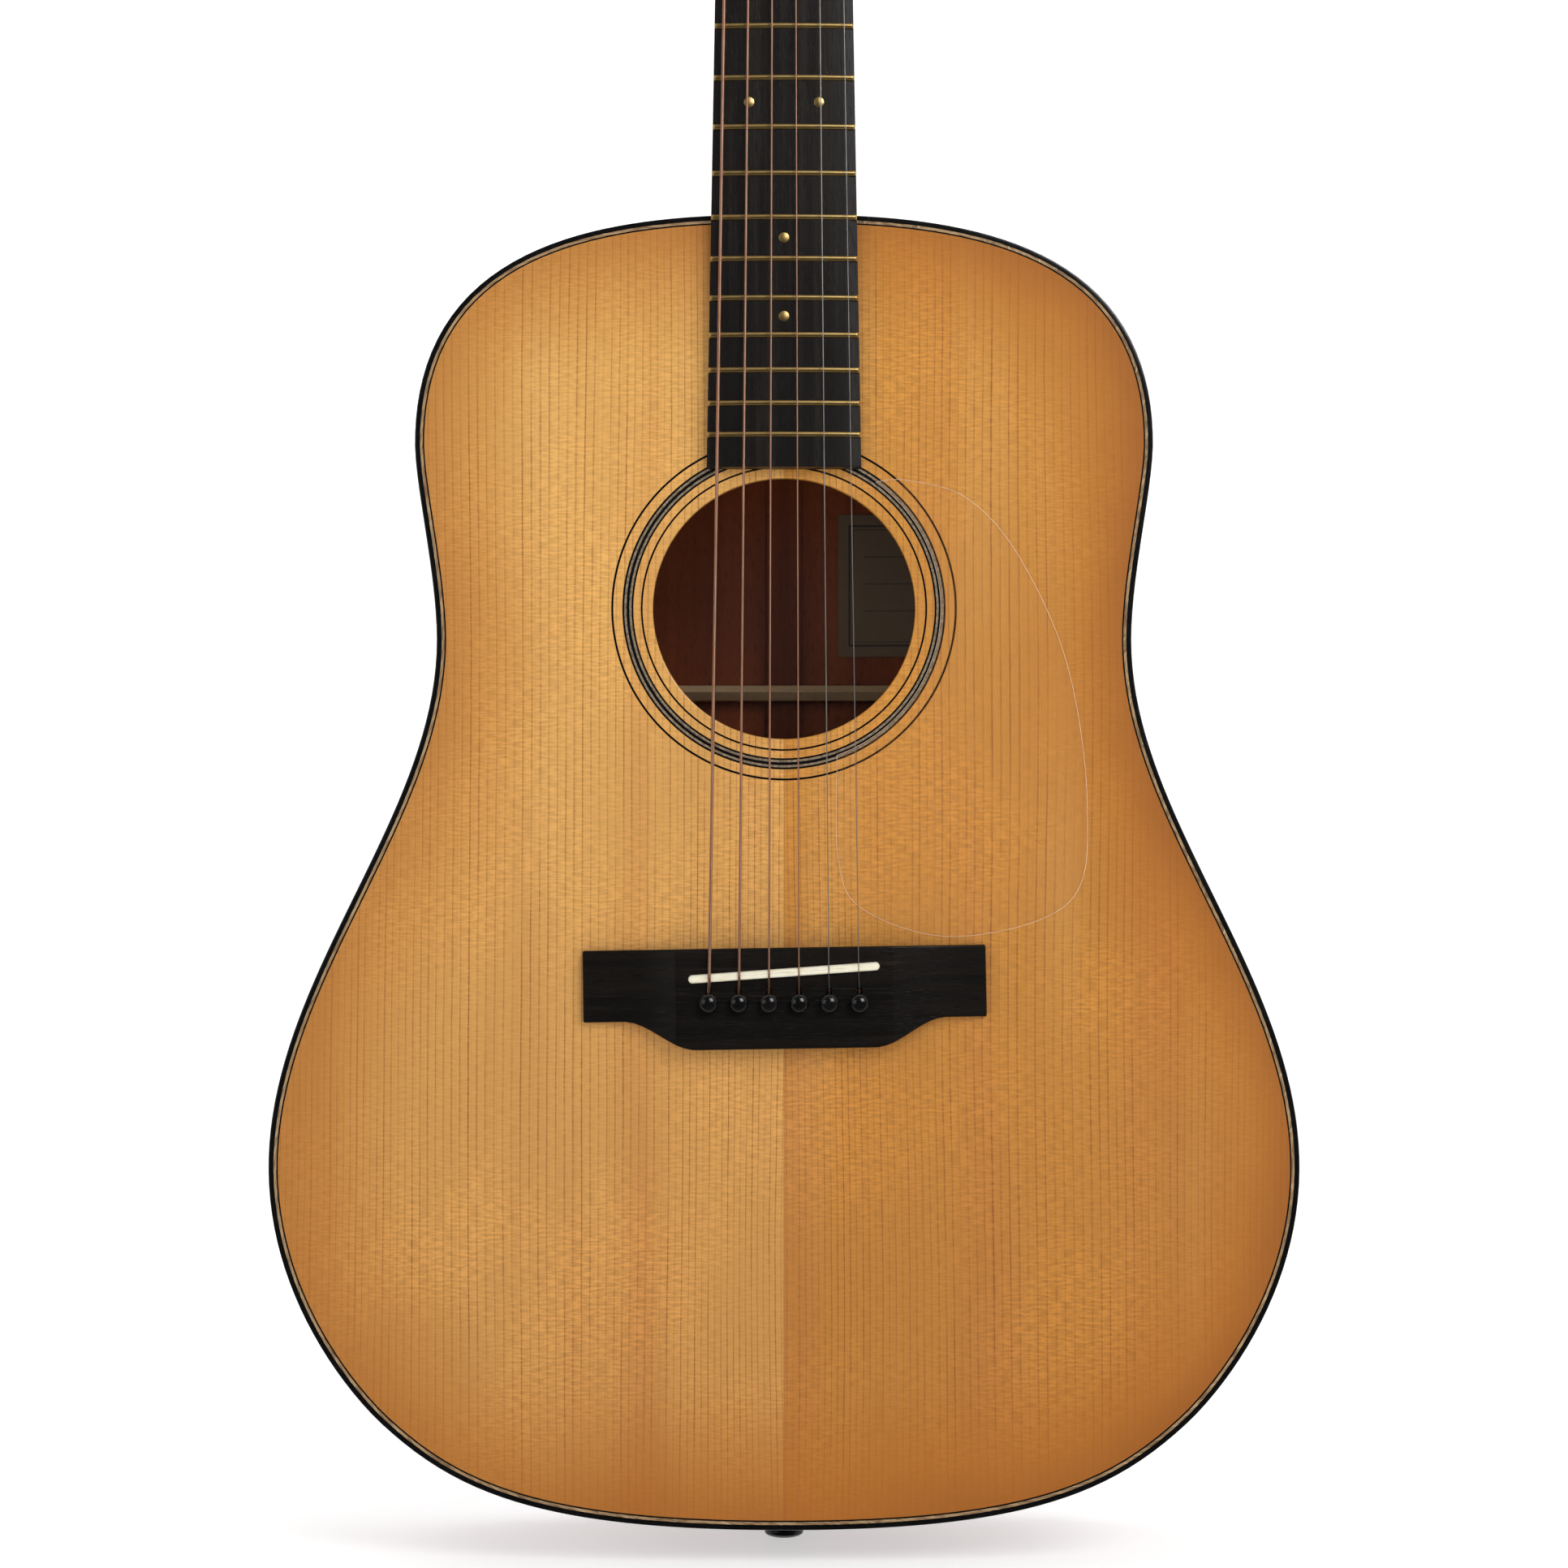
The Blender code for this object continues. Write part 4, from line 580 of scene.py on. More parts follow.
def dark_rosewood(name, along_x):
    """Dark brown wood with nearly black streaks that run along the bridge, or up the headstock."""
    shades = colours()
    finish = Finish(name)
    x, y, z = finish.place()
    across, along = (z, x) if along_x else (x, z)
    bend = finish.noise(across * 26, y * 8, along * 11, 2.0) * 0.006
    ruler = across + bend
    broad = finish.noise(ruler * 210, y * 70, along * 5, 3.0, 0.6)
    fine = finish.noise(ruler * 950, y * 300, along * 16, 2.0, 0.6)
    tone = broad.rise(0.34, 0.68) * 0.75 + fine * 0.4 - 0.1
    wood = finish.blend(tone, linear(12, 10, 8), shades.rosewood)
    wood = finish.blend(fine.rise(0.62, 0.8) * 0.5, wood, linear(52, 37, 27))
    pores = finish.noise(ruler * 2400, y * 500, along * 130, 1.0).rise(0.6, 0.68)
    wood = finish.blend(pores * 0.8, wood, linear(12, 9, 8))
    gloss = {"Specular_IOR_Level": 0.3} if along_x else LACQUER
    return finish.done(wood, fine * 0.15 + 0.28, (pores * -1.0 + fine * 0.3, 0.00007), **gloss)


def bridge_rosewood():
    return dark_rosewood("bridge_rosewood", True)


def head_rosewood():
    return dark_rosewood("head_rosewood", False)


def black_gloss():
    """Buffed black plastic with hairline scratches and faint smudges."""
    shades = colours()
    finish = Finish("black_gloss")
    x, y, z = finish.place()
    smudge = finish.noise(x * 60, y * 60, z * 60, 3.0)
    hairline = finish.noise(x * 900 + z * 300, y * 900, z * 120, 1.0).rise(0.66, 0.74)
    base = finish.blend(smudge.rise(0.4, 0.8) * 0.6, shades.black, linear(20, 18, 18))
    relief = (hairline * -1.0, 0.000006)
    return finish.done(base, smudge * 0.14 + hairline * 0.1 + 0.12, relief, Coat_Weight=0.5)


def purfling_strip():
    """Light wood strip in short mottled lengths, under the lacquer."""
    shades = colours()
    finish = Finish("purfling_strip")
    across, along = finish.surface()
    mottle = finish.noise(across * 900, 1.0, along * 210, 2.0, 0.7)
    dash = finish.noise(across * 300, 4.0, along * 620, 1.0)
    wood = finish.blend(mottle.rise(0.34, 0.66), linear(112, 84, 56), shades.purfling)
    wood = finish.blend(dash.rise(0.6, 0.7) * 0.7, wood, linear(206, 186, 150))
    return finish.done(wood, mottle * 0.1 + 0.35, (mottle, 0.00002), **LACQUER)


def ring_grey():
    """Grey-brown rosette line with a streaky weave."""
    shades = colours()
    finish = Finish("ring_grey")
    x, _, z = finish.place()
    streak = finish.noise(x * 800, 1.0, z * 800, 2.0, 0.7)
    base = finish.blend(streak.rise(0.32, 0.7), linear(92, 78, 62), shades.ring)
    return finish.done(base, streak * 0.1 + 0.35, (streak, 0.00002), **LACQUER)


def bone():
    """Polished bone with faint streaks and pores."""
    shades = colours()
    finish = Finish("bone")
    x, y, z = finish.place()
    cloud = finish.noise(x * 220, y * 400, z * 900, 3.0)
    pores = finish.noise(x * 1500, y * 5200, z * 5200, 1.0).rise(0.66, 0.74)
    base = finish.blend(cloud.rise(0.35, 0.75) * 0.6, shades.bone, linear(222, 208, 172))
    base = finish.blend(pores * 0.4, base, linear(180, 158, 116))
    return finish.done(base, cloud * 0.16 + 0.22, (pores * -1.0, 0.00002), Subsurface_Weight=0.08)


def metal(name, base, dull, roughness, scratch_along_z=False, scale=1.0):
    """A plated or drawn metal with smudges, fine scratches and a slight tarnish."""
    finish = Finish(name)
    x, y, z = finish.place()
    smudge = finish.noise(x * 90 * scale, y * 90 * scale, z * 90 * scale, 3.0, 0.6)
    stretch = 90 if scratch_along_z else 2200
    scratch = finish.noise(x * 3400, y * 3400, z * stretch, 1.0).rise(0.55, 0.75)
    tone = finish.blend(smudge.rise(0.38, 0.75) * 0.55, base, dull)
    return finish.done(tone, smudge * 0.16 + scratch * 0.08 + roughness, (scratch, 0.000004), Metallic=1.0)


def fret_brass():
    return metal("fret_brass", colours().brass, linear(214, 170, 98), 0.3)


def nickel():
    return metal("nickel", colours().nickel, linear(150, 142, 128), 0.14)


def rod_steel():
    return metal("rod_steel", linear(168, 168, 170), linear(112, 108, 104), 0.3, True)


def plain_steel():
    return metal("plain_steel", colours().steel, linear(170, 166, 160), 0.3, True)


def bronze():
    return metal("bronze_winding", colours().bronze, linear(216, 158, 128), 0.34, scale=0.6)


def button_plastic():
    """Cream moulded tuner buttons with soft swirls."""
    shades = colours()
    finish = Finish("button_plastic")
    x, y, z = finish.place()
    swirl = finish.noise(x * 90, y * 90, z * 210, 2.0, 0.5)
    base = finish.blend(swirl.rise(0.3, 0.72), linear(198, 184, 152), shades.button)
    return finish.done(base, swirl * 0.08 + 0.16, (swirl, 0.000003), Coat_Weight=0.4, Subsurface_Weight=0.05)


def clear_film():
    """Thin clear plastic, nearly invisible but for its gloss and a slightly pink cast."""
    finish = Finish("clear_film")
    x, _, z = finish.place()
    haze = finish.noise(x * 30, 1.0, z * 30, 3.0)
    scratch = finish.noise(x * 240 + z * 260, 2.0, z * 40, 1.0).rise(0.68, 0.72)
    base = finish.blend(haze, linear(212, 150, 92), linear(222, 162, 104))
    clear = haze * 0.015 + scratch * 0.03 + 0.02
    return finish.done(base, haze * 0.12 + 0.08, Alpha=clear, IOR=1.48)


def film_edge():
    """The film's cut edge, painted pale and half opaque as a highlight where it gathers light."""
    finish = Finish("film_edge")
    x, _, z = finish.place()
    sparkle = finish.noise(x * 300, 1.0, z * 300, 2.0)
    # Painted highlight: the pale colour and the extra opacity stand for light caught in the cut edge.
    base = finish.blend(sparkle, linear(248, 214, 180), linear(255, 234, 208))
    return finish.done(base, sparkle * 0.1 + 0.15, Alpha=sparkle * 0.3 + 0.35)


def label_paper():
    """Cream paper, darkened in part as painted shade inside the body, with a double border and ruled lines,
    and no words.
    """
    shades = colours()
    low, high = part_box("paper_label")
    finish = Finish("label_paper")
    x, _, z = finish.place()
    across, up = x - low.x, z - low.z
    wide, tall = high.x - low.x, high.z - low.z
    from_side = finish.math("MINIMUM", across, wide - across)
    from_end = finish.math("MINIMUM", up, tall - up)
    edge = finish.math("MINIMUM", from_side, from_end)
    outer = edge.rise(0.0042, 0.0043) * (1 - edge.rise(0.0050, 0.0051))
    inner = edge.rise(0.0060, 0.0061) * (1 - edge.rise(0.0063, 0.0064))
    step = (up - 0.0135) / 0.0112
    rule = (1 - abs(step.fraction() - 0.5).rise(0.014, 0.022)) * edge.rise(0.0105, 0.0107)
    ink = finish.math("MAXIMUM", finish.math("MAXIMUM", outer, inner), rule * 0.8)
    fibres = finish.noise(x * 700, 1.0, z * 700, 4.0, 0.7)
    # Both paper colours are cream darkened in part as painted shade.
    sheet = finish.blend(fibres, linear(98, 80, 62), shades.paper)
    sheet = finish.blend(ink * 0.85, sheet, linear(48, 42, 38))
    return finish.done(sheet, fibres * 0.15 + 0.7, (fibres, 0.00005))


def studio_floor():
    """Pale seamless paper."""
    finish = Finish("studio_floor")
    x, y, z = finish.place()
    mottle = finish.noise(x * 5, y * 5, z * 5, 2.0)
    base = finish.blend(mottle * 0.2, bpy.context.scene.studio.floor, (0.8, 0.8, 0.8))
    glow = {"Emission_Color": (1.0, 1.0, 1.0), "Emission_Strength": bpy.context.scene.studio.glow}
    return finish.done(base, mottle * 0.05 + 0.85, **glow)


def coat(obj, recipe, index=None):
    """Gives a piece, or a CAD node, a finish, making the material the first time it is wanted."""
    material = bpy.data.materials.get(recipe.__name__ + "_finish")
    if material is None:
        material = recipe()
        material.name = recipe.__name__ + "_finish"
    if index is None:
        obj.data.materials.clear()
    obj.data.materials.append(material)


# ---------------------------------------------------------------- modelling


def deselect():
    bpy.ops.object.select_all(action="DESELECT")


def pick(obj):
    """Makes obj the only selected object, and the active one."""
    deselect()
    obj.select_set(True)
    bpy.context.view_layer.objects.active = obj


def edit_all(obj):
    """Opens obj in edit mode with all of it selected."""
    pick(obj)
    bpy.ops.object.mode_set(mode="EDIT")
    bpy.ops.mesh.select_all(action="SELECT")


def close_edit():
    bpy.ops.object.mode_set(mode="OBJECT")


def settle(obj):
    """Moves an object's place and turn into its mesh."""
    pick(obj)
    bpy.ops.object.transform_apply(location=True, rotation=True, scale=True)


def smooth(obj, degrees=35):
    pick(obj)
    bpy.ops.object.shade_smooth_by_angle(angle=math.radians(degrees))


def apply_modifier(obj, kind, **settings):
    modifier = obj.modifiers.new(kind.lower(), kind)
    for name, value in settings.items():
        setattr(modifier, name, value)
    pick(obj)
    bpy.ops.object.modifier_apply(modifier=modifier.name)


def bevel(obj, width, steps=2, degrees=30):
    angle = math.radians(degrees)
    apply_modifier(obj, "BEVEL", width=width, segments=steps, limit_method="ANGLE", angle_limit=angle)


def cut(obj, cutter):
    apply_modifier(obj, "BOOLEAN", object=cutter, operation="DIFFERENCE", solver="EXACT")
    bpy.data.objects.remove(cutter)


def unite(name, objects):
    """Joins several objects into one."""
    deselect()
    for obj in objects:
        obj.select_set(True)
    bpy.context.view_layer.objects.active = objects[0]
    bpy.ops.object.join()
    objects[0].name = name
    return objects[0]


def twin(obj, name, move=None):
    """A copy with its own mesh, moved by a matrix."""
    copy = obj.copy()
    copy.data = obj.data.copy()
    copy.name = copy.data.name = name
    bpy.context.scene.collection.objects.link(copy)
    if move:
        copy.data.transform(move)
        if move.determinant() < 0:
            copy.data.flip_normals()
    return copy


def skin(name, rings, wrapped=True, looped=False):
    """A grid laid over rings of equally many points, with open ends filled.

    wrapped joins each ring's last point to its first, and looped joins the last ring to the first. The UV
    map runs round the ring and from ring to ring, in metres.
    """
    rows = [[*ring, ring[0]] if wrapped else list(ring) for ring in rings]
    if looped:
        rows.append(rows[0])
    wide = len(rows[0])
    deselect()
    bpy.ops.mesh.primitive_grid_add(x_subdivisions=wide - 1, y_subdivisions=len(rows) - 1, size=1)
    obj = bpy.context.object
    obj.name = obj.data.name = name
    mesh = obj.data
    mesh.vertices.foreach_set("co", [value for row in rows for point in row for value in point])
    lay_map(mesh, rows)
    edit_all(obj)
    bpy.ops.mesh.remove_doubles(threshold=1e-7)
    bpy.ops.mesh.select_all(action="SELECT")
    bpy.ops.mesh.fill_holes(sides=0)
    bpy.ops.mesh.select_all(action="SELECT")
    bpy.ops.mesh.normals_make_consistent(inside=False)
    close_edit()
    return obj


def lay_map(mesh, rows):
    """Writes the distances round and along the rows into the mesh's UV map."""
    along = 0.0
    places = []
    last = None
    for row in rows:
        if last is not None:
            every = max(len(row) // 8, 1)
            steps = [math.dist(a, b) for a, b in zip(row[::every], last[::every])]
            along += sum(steps) / len(steps)
        last = row
        round_it = 0.0
        before = row[0]
        for point in row:
            round_it += math.dist(point, before)
            before = point
            places.append((round_it, along))
    corners = [0] * len(mesh.loops)
    mesh.loops.foreach_get("vertex_index", corners)
    layer = mesh.uv_layers[0] if mesh.uv_layers else mesh.uv_layers.new(name="UVMap")
    layer.data.foreach_set("uv", [value for corner in corners for value in places[corner]])


def turned(name, stations, sides=32):
    """A piece turned about Z: a disc, extruded and resized from station to station.

    A station is (height, radius) or (height, radius across X, radius across Y).
    """
    deselect()
    height, *radii = stations[0]
    bpy.ops.mesh.primitive_circle_add(vertices=sides, radius=1, fill_type="NGON", location=(0, 0, height))
    obj = bpy.context.object
    obj.name = obj.data.name = name
    edit_all(obj)
    wide, deep = radii[0], radii[-1]
    bpy.ops.transform.resize(value=(wide, deep, 1))
    for next_height, *radii in stations[1:]:
        bpy.ops.mesh.extrude_region_move(TRANSFORM_OT_translate={"value": (0, 0, next_height - height)})
        if (radii[0], radii[-1]) != (wide, deep):
            bpy.ops.transform.resize(value=(radii[0] / wide, radii[-1] / deep, 1))
        height, wide, deep = next_height, radii[0], radii[-1]
    bpy.ops.mesh.select_all(action="SELECT")
    bpy.ops.mesh.normals_make_consistent(inside=False)
    close_edit()
    settle(obj)
    return obj


def prism(name, outline, low, high, rounding=0.0, steps=2):
    """An outline of (x, z) points made solid from y = low to y = high, with rounded rims."""
    deselect()
    bpy.ops.mesh.primitive_circle_add(vertices=len(outline), fill_type="NGON")
    obj = bpy.context.object
    obj.name = obj.data.name = name
    for vertex, (x, z) in zip(obj.data.vertices, outline):
        vertex.co = (x, low, z)
    edit_all(obj)
    bpy.ops.mesh.extrude_region_move(TRANSFORM_OT_translate={"value": (0, high - low, 0)})
    bpy.ops.mesh.select_all(action="SELECT")
    bpy.ops.mesh.normals_make_consistent(inside=False)
    close_edit()
    if rounding:
        bevel(obj, rounding, steps)
    return obj


def block(name, low, high, rounding=0.0):
    """A box between two corners with rounded edges."""
    outline = [(low[0], low[2]), (high[0], low[2]), (high[0], high[2]), (low[0], high[2])]
    return prism(name, outline, low[1], high[1], rounding)


def from_cad(node, name, rounding, degrees=30):
    """A merged copy of a CAD node with its flat faces whole and its edges rounded."""
    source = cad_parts[node]
    obj = bpy.data.objects.new(name, source.data.copy())
    bpy.context.scene.collection.objects.link(obj)
    edit_all(obj)
    bpy.ops.mesh.remove_doubles(threshold=1e-6)
    bpy.ops.mesh.select_all(action="SELECT")
    bpy.ops.mesh.dissolve_limited(angle_limit=math.radians(1))
    close_edit()
    bevel(obj, rounding, 2, degrees)
    return obj


def finished(obj, recipe, body, slot, *nodes, degrees=35):
    """Gives a piece its finish and shading, and ties it to its body and to the nodes that it stands for."""
    smooth(obj, degrees)
    if len(obj.data.polygons) < MANY_FACES:
        apply_modifier(obj, "WEIGHTED_NORMAL", keep_sharp=True)
    coat(obj, recipe)
    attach(obj, body)
    if nodes:
        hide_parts(*nodes)
    return obj


def circle(radius, sides, centre=(0, 0)):
    turns = [2 * math.pi * i / sides for i in range(sides)]
    return [(centre[0] + radius * math.cos(a), centre[1] + radius * math.sin(a)) for a in turns]


def ease(share):
    """A smooth rise from 0 to 1."""
    share = min(max(share, 0), 1)
    return share * share * (3 - 2 * share)


def smooth_through(points, steps):
    """An open curve through the points, with the same number of steps between each two."""
    vectors = [Vector(p) for p in points]
    curve = []
    for i in range(len(points) - 1):
        a, b, c, d = (vectors[min(max(i + k, 0), len(points) - 1)] for k in (-1, 0, 1, 2))
        for j in range(steps):
            t = j / steps
            bend = (2 * a - 5 * b + 4 * c - d) * t**2 + (3 * b - a - 3 * c + d) * t**3
            curve.append(0.5 * (2 * b + (c - a) * t + bend))
    return [*curve, vectors[-1]]


def evenly(line, steps):
    """The line's points at equal distances along it."""
    lengths = [0.0]
    for a, b in zip(line, line[1:]):
        lengths.append(lengths[-1] + (b - a).length)
    result = []
    k = 0
    for i in range(steps + 1):
        want = lengths[-1] * i / steps
        while k < len(line) - 2 and lengths[k + 1] < want:
            k += 1
        span = lengths[k + 1] - lengths[k]
        result.append(line[k].lerp(line[k + 1], (want - lengths[k]) / span if span else 0))
    return result


def tube_rings(path, radius, sides):
    """Rings square to a path. radius is a function of the distance along the path and the angle round it."""
    rings = []
    travelled = 0.0
    tangent = (path[1] - path[0]).normalized()
    side = tangent.orthogonal().normalized()
    for i, point in enumerate(path):
        ahead = path[min(i + 1, len(path) - 1)] - path[max(i - 1, 0)]
        new = ahead.normalized()
        side = (tangent.rotation_difference(new) @ side).normalized()
        tangent = new
        other = tangent.cross(side)
        if i:
            travelled += (point - path[i - 1]).length
        ring = []
        for j in range(sides):
            angle = 2 * math.pi * j / sides
            reach = radius(travelled, angle)
            ring.append(point + side * (math.cos(angle) * reach) + other * (math.sin(angle) * reach))
        rings.append(ring)
    return rings


# ---------------------------------------------------------------- body outline


def cubic(a, b, c, d, steps):
    for i in range(steps):
        t = i / steps
        u = 1 - t
        yield a * u**3 + b * (3 * u * u * t) + c * (3 * u * t * t) + d * t**3


def half_outline():
    """The treble half as (x, distance down the body), finely stepped from the neck to the tail."""
    upper = Vector((UPPER_BOUT / 2, UPPER_BOUT_AT * BODY_LENGTH))
    waist = Vector((WAIST / 2, WAIST_AT * BODY_LENGTH))
    lower = Vector((BODY_HALF_WIDTH, LOWER_BOUT_AT * BODY_LENGTH))
    start = Vector((0, 0))
    tail = Vector((0, BODY_LENGTH))
    corner = Vector((lower.x * LOWER_CORNER[0], lower.y + (tail.y - lower.y) * LOWER_CORNER[1]))
    across = Vector((1, 0))
    down = Vector((0, 1))
    turning = Vector((-math.sin(CORNER_SLOPE), math.cos(CORNER_SLOPE)))
    to_waist = waist.y - upper.y
    to_lower = lower.y - waist.y
    to_corner = corner.y - lower.y
    arcs = (
        (start, across * SHOULDER_FULLNESS[0] * upper.x, down * SHOULDER_FULLNESS[1] * upper.y, upper),
        (upper, down * UPPER_WAIST_FULLNESS[0] * to_waist, down * UPPER_WAIST_FULLNESS[1] * to_waist, waist),
        (waist, down * LOWER_WAIST_FULLNESS[0] * to_lower, down * LOWER_WAIST_FULLNESS[1] * to_lower, lower),
        (lower, down * HIP_FULLNESS[0] * to_corner, turning * HIP_FULLNESS[1] * to_corner, corner),
        (corner, turning * TAIL_FULLNESS[0] * corner.x, -across * TAIL_FULLNESS[1] * corner.x, tail),
    )
    line = []
    for a, leaving, arriving, d in arcs:
        line += cubic(a, a + leaving, d - arriving, d, 90)
    return [*line, tail]


def body_stations(steps):
    """(point, inward normal) pairs round the body: top centre, treble side, tail, bass side."""
    half = [Vector((p.x, BODY_TOP - p.y)) for p in evenly(half_outline(), steps)]
    loop = half + [Vector((-p.x, p.y)) for p in reversed(half[1:-1])]
    stations = []
    for i, point in enumerate(loop):
        along = (loop[(i + 1) % len(loop)] - loop[i - 1]).normalized()
        stations.append((point, Vector((along.y, -along.x))))
    return stations


def rim(offset, depth, stations):
    """A ring round the body, moved inwards. depth is y, or a function of the height that gives it."""
    ring = []
    for point, normal in stations:
        place = point + normal * offset
        ring.append((place.x, depth(place.y) if callable(depth) else depth, place.y))
    return ring


def back_edge(z):
    """How deep the body is at its rim."""
    return DEPTH_AT_NECK + (DEPTH_AT_TAIL - DEPTH_AT_NECK) * (BODY_TOP - z) / BODY_LENGTH


def from_back(distance):
    return lambda z: back_edge(z) - distance


# ---------------------------------------------------------------- body


def make_soundboard():
    """A board with a soundhole whose rim is rounded over, in rings from the purfling to the hole."""
    stations = body_stations(sizes().outline_steps)
    edge = sizes().binding_width + sizes().purfling_width + sizes().line_width
    centre = Vector((0, SOUNDHOLE_Z))
    outer = [point + normal * edge for point, normal in stations]
    ways = [(point - centre).normalized() for point in outer]
    rounding = 0.0007

    def towards_hole(share, y):
        ring = []
        for point, way in zip(outer, ways):
            place = point.lerp(centre + way * (SOUNDHOLE_RADIUS + rounding), share)
            ring.append((place.x, y, place.y))
        return ring

    def at_hole(radius, y):
        return [(centre.x + way.x * radius, y, centre.y + way.y * radius) for way in ways]

    shares = (0, 0.03, 0.07, 0.13, 0.2, 0.3, 0.42, 0.56, 0.7, 0.85, 1)
    rings = [towards_hole(share, 0) for share in shares]
    for degrees in (30, 60, 90):
        turn = math.radians(degrees)
        radius = SOUNDHOLE_RADIUS + rounding * (1 - math.sin(turn))
        rings.append(at_hole(radius, rounding * (1 - math.cos(turn))))
    rings.append(at_hole(SOUNDHOLE_RADIUS, TOP_THICKNESS))
    rings += [towards_hole(share, TOP_THICKNESS) for share in (1, 0.5, 0)]
    board = skin("soundboard_top", rings, looped=True)
    cut(board, pin_holes("soundboard_pin_holes"))
    rim_tree = KDTree(len(stations))
    for i, (point, _) in enumerate(stations):
        rim_tree.insert((point.x, 0, point.y), i)
    rim_tree.balance()
    attribute = board.data.attributes.new("from_edge", "FLOAT", "POINT")
    flat = [rim_tree.find((v.co.x, 0, v.co.z))[2] for v in board.data.vertices]
    attribute.data.foreach_set("value", flat)
    finished(board, soundboard_spruce, "root", "soundboard_spruce", "soundboard", degrees=50)


def make_rosette():
    """Seven rings let into the soundboard round the hole, standing a hair proud of it."""
    rings = (
        ("inner_line", 0.05415, 0.0007, black_gloss, "black_binding"),
        ("dark_1", 0.0577, 0.0007, black_gloss, "black_binding"),
        ("grey_1", 0.0584, 0.00085, ring_grey, "lining_wood"),
        ("dark_2", 0.05925, 0.0011, black_gloss, "black_binding"),
        ("grey_2", 0.06035, 0.00085, ring_grey, "lining_wood"),
        ("dark_3", 0.0612, 0.00075, black_gloss, "black_binding"),
        ("outer_line", 0.0654, 0.0008, black_gloss, "black_binding"),
    )
    under, proud = 0.0004, -0.00003
    for name, inner, width, recipe, slot in rings:
        outer = inner + width
        loops = []
        for radius, y in ((inner, under), (inner, proud), (outer, proud), (outer, under)):
            loops.append([(x, y, z) for x, z in circle(radius, 180, (0, SOUNDHOLE_Z))])
        finished(skin(f"rosette_{name}", loops, looped=True), recipe, "root", slot)


def hoop(name, inner, outer, front, back, rounding, recipe, slot, *nodes):
    """A closed strip round the body between two offsets, its outer corner rounded."""
    stations = body_stations(sizes().outline_steps)
    soft = rounding * 0.3

    def deeper(depth, by):
        return (lambda z: depth(z) + by) if callable(depth) else depth + by

    if rounding:
        path = [(inner, front), (outer + rounding, front), (outer + soft, deeper(front, soft))]
        path += [(outer, deeper(front, rounding)), (outer, deeper(back, -rounding))]
        path += [(outer + soft, deeper(back, -soft)), (outer + rounding, back), (inner, back)]
    else:
        path = [(inner, front), (outer, front), (outer, back), (inner, back)]
    strip = skin(name, [rim(offset, depth, stations) for offset, depth in path], looped=True)
    turn_map(strip)
    return finished(strip, recipe, "root", slot, *nodes)


def turn_map(obj):
    """Swaps the UV map's axes, for a strip whose rings run along its length."""
    for corner in obj.data.uv_layers[0].data:
        corner.uv = (corner.uv[1], corner.uv[0])


def make_bindings():
    """Black binding round both plates, with purfling and a fine line let into the top."""
    wide = sizes().binding_width
    light = wide + sizes().purfling_width
    dark = light + sizes().line_width
    hoop("binding_top", wide, 0, 0, BINDING_DEPTH, 0.0006, black_gloss, "black_binding", "top_binding")
    hoop("purfling_top", light, wide, 0, 0.0016, 0, purfling_strip, "lining_wood")
    hoop("line_top", dark, light, 0, 0.0016, 0, black_gloss, "black_binding")
    front = from_back(BINDING_DEPTH)
    hoop("binding_back", wide, 0, front, from_back(0), 0.0006, black_gloss, "black_binding", "back_binding")


def make_back():
    """The arched back, lacquered outside and bare inside."""
    stations = body_stations(sizes().outline_steps)
    inset = sizes().binding_width + 0.00002
    centre = Vector((0, BODY_TOP - ARCH_CENTRE * BODY_LENGTH))
    edge = [point + normal * inset for point, normal in stations]

    def dome(share, inside):
        ring = []
        for point in edge:
            place = centre.lerp(point, share)
            y = back_edge(place.y) + BACK_ARCH * (1 - share**2) - inside
            ring.append((place.x, y, place.y))
        return ring

    shares = (0, 0.12, 0.25, 0.4, 0.55, 0.7, 0.82, 0.92, 1)
    rings = [dome(share, 0) for share in shares] + [dome(share, BACK_THICKNESS) for share in reversed(shares)]
    plate = skin("back_outer", rings)
    finished(plate, back_mahogany, "root", "body_mahogany", "back_plate", degrees=50)
    coat(plate, bare_mahogany, 1)
    for face in plate.data.polygons:
        if face.normal.y < -0.5:
            face.material_index = 1


def make_sides():
    """Two bent sides, and the graft over their joint at the tail."""
    stations = body_stations(sizes().outline_steps)
    half = stations[: sizes().outline_steps + 1]
    front = BINDING_DEPTH + 0.00002
    back = from_back(front)
    edges = [(0, lambda z: front), (0, back), (SIDE_THICKNESS, back), (SIDE_THICKNESS, lambda z: front)]
    for name, sign in (("side_wood_treble", 1), ("side_wood_bass", -1)):
        rings = []
        for i, (point, normal) in enumerate(half):
            inset = Vector((GAP / 2, 0)) if i in (0, len(half) - 1) else Vector((0, 0))
            ring = []
            for offset, depth in edges:
                place = point + normal * offset + inset
                ring.append((place.x * sign, depth(place.y), place.y))
            rings.append(ring)
        wood = skin(name, rings)
        for room in (tenon_room(), end_pin_room()):
            cut(wood, room)
        finished(wood, side_mahogany, "root", "body_mahogany", name.replace("_wood", ""), degrees=40)
    rings = []
    half_graft = sizes().graft_width / 2
    for i in range(9):
        x = half_graft * (i / 4 - 1)
        place = tail_point(x)
        ring = [(place.x, depth, place.y - lift) for depth, lift in graft_corners(front, back(TAIL))]
        rings.append(ring)
    graft = skin("end_graft", rings)
    cut(graft, end_pin_room())
    finished(graft, black_gloss, "root", "black_binding")


def tail_point(x):
    """Where the body's outline passes x at the tail."""
    nearest = min(half_outline()[-90:], key=lambda p: abs(p.x - abs(x)))
    return Vector((x, BODY_TOP - nearest.y))


def graft_corners(front, back):
    """(depth, how far out from the side) round the graft's section."""
    return ((front, -0.0003), (front, 0.00006), (back, 0.00006), (back, -0.0003))


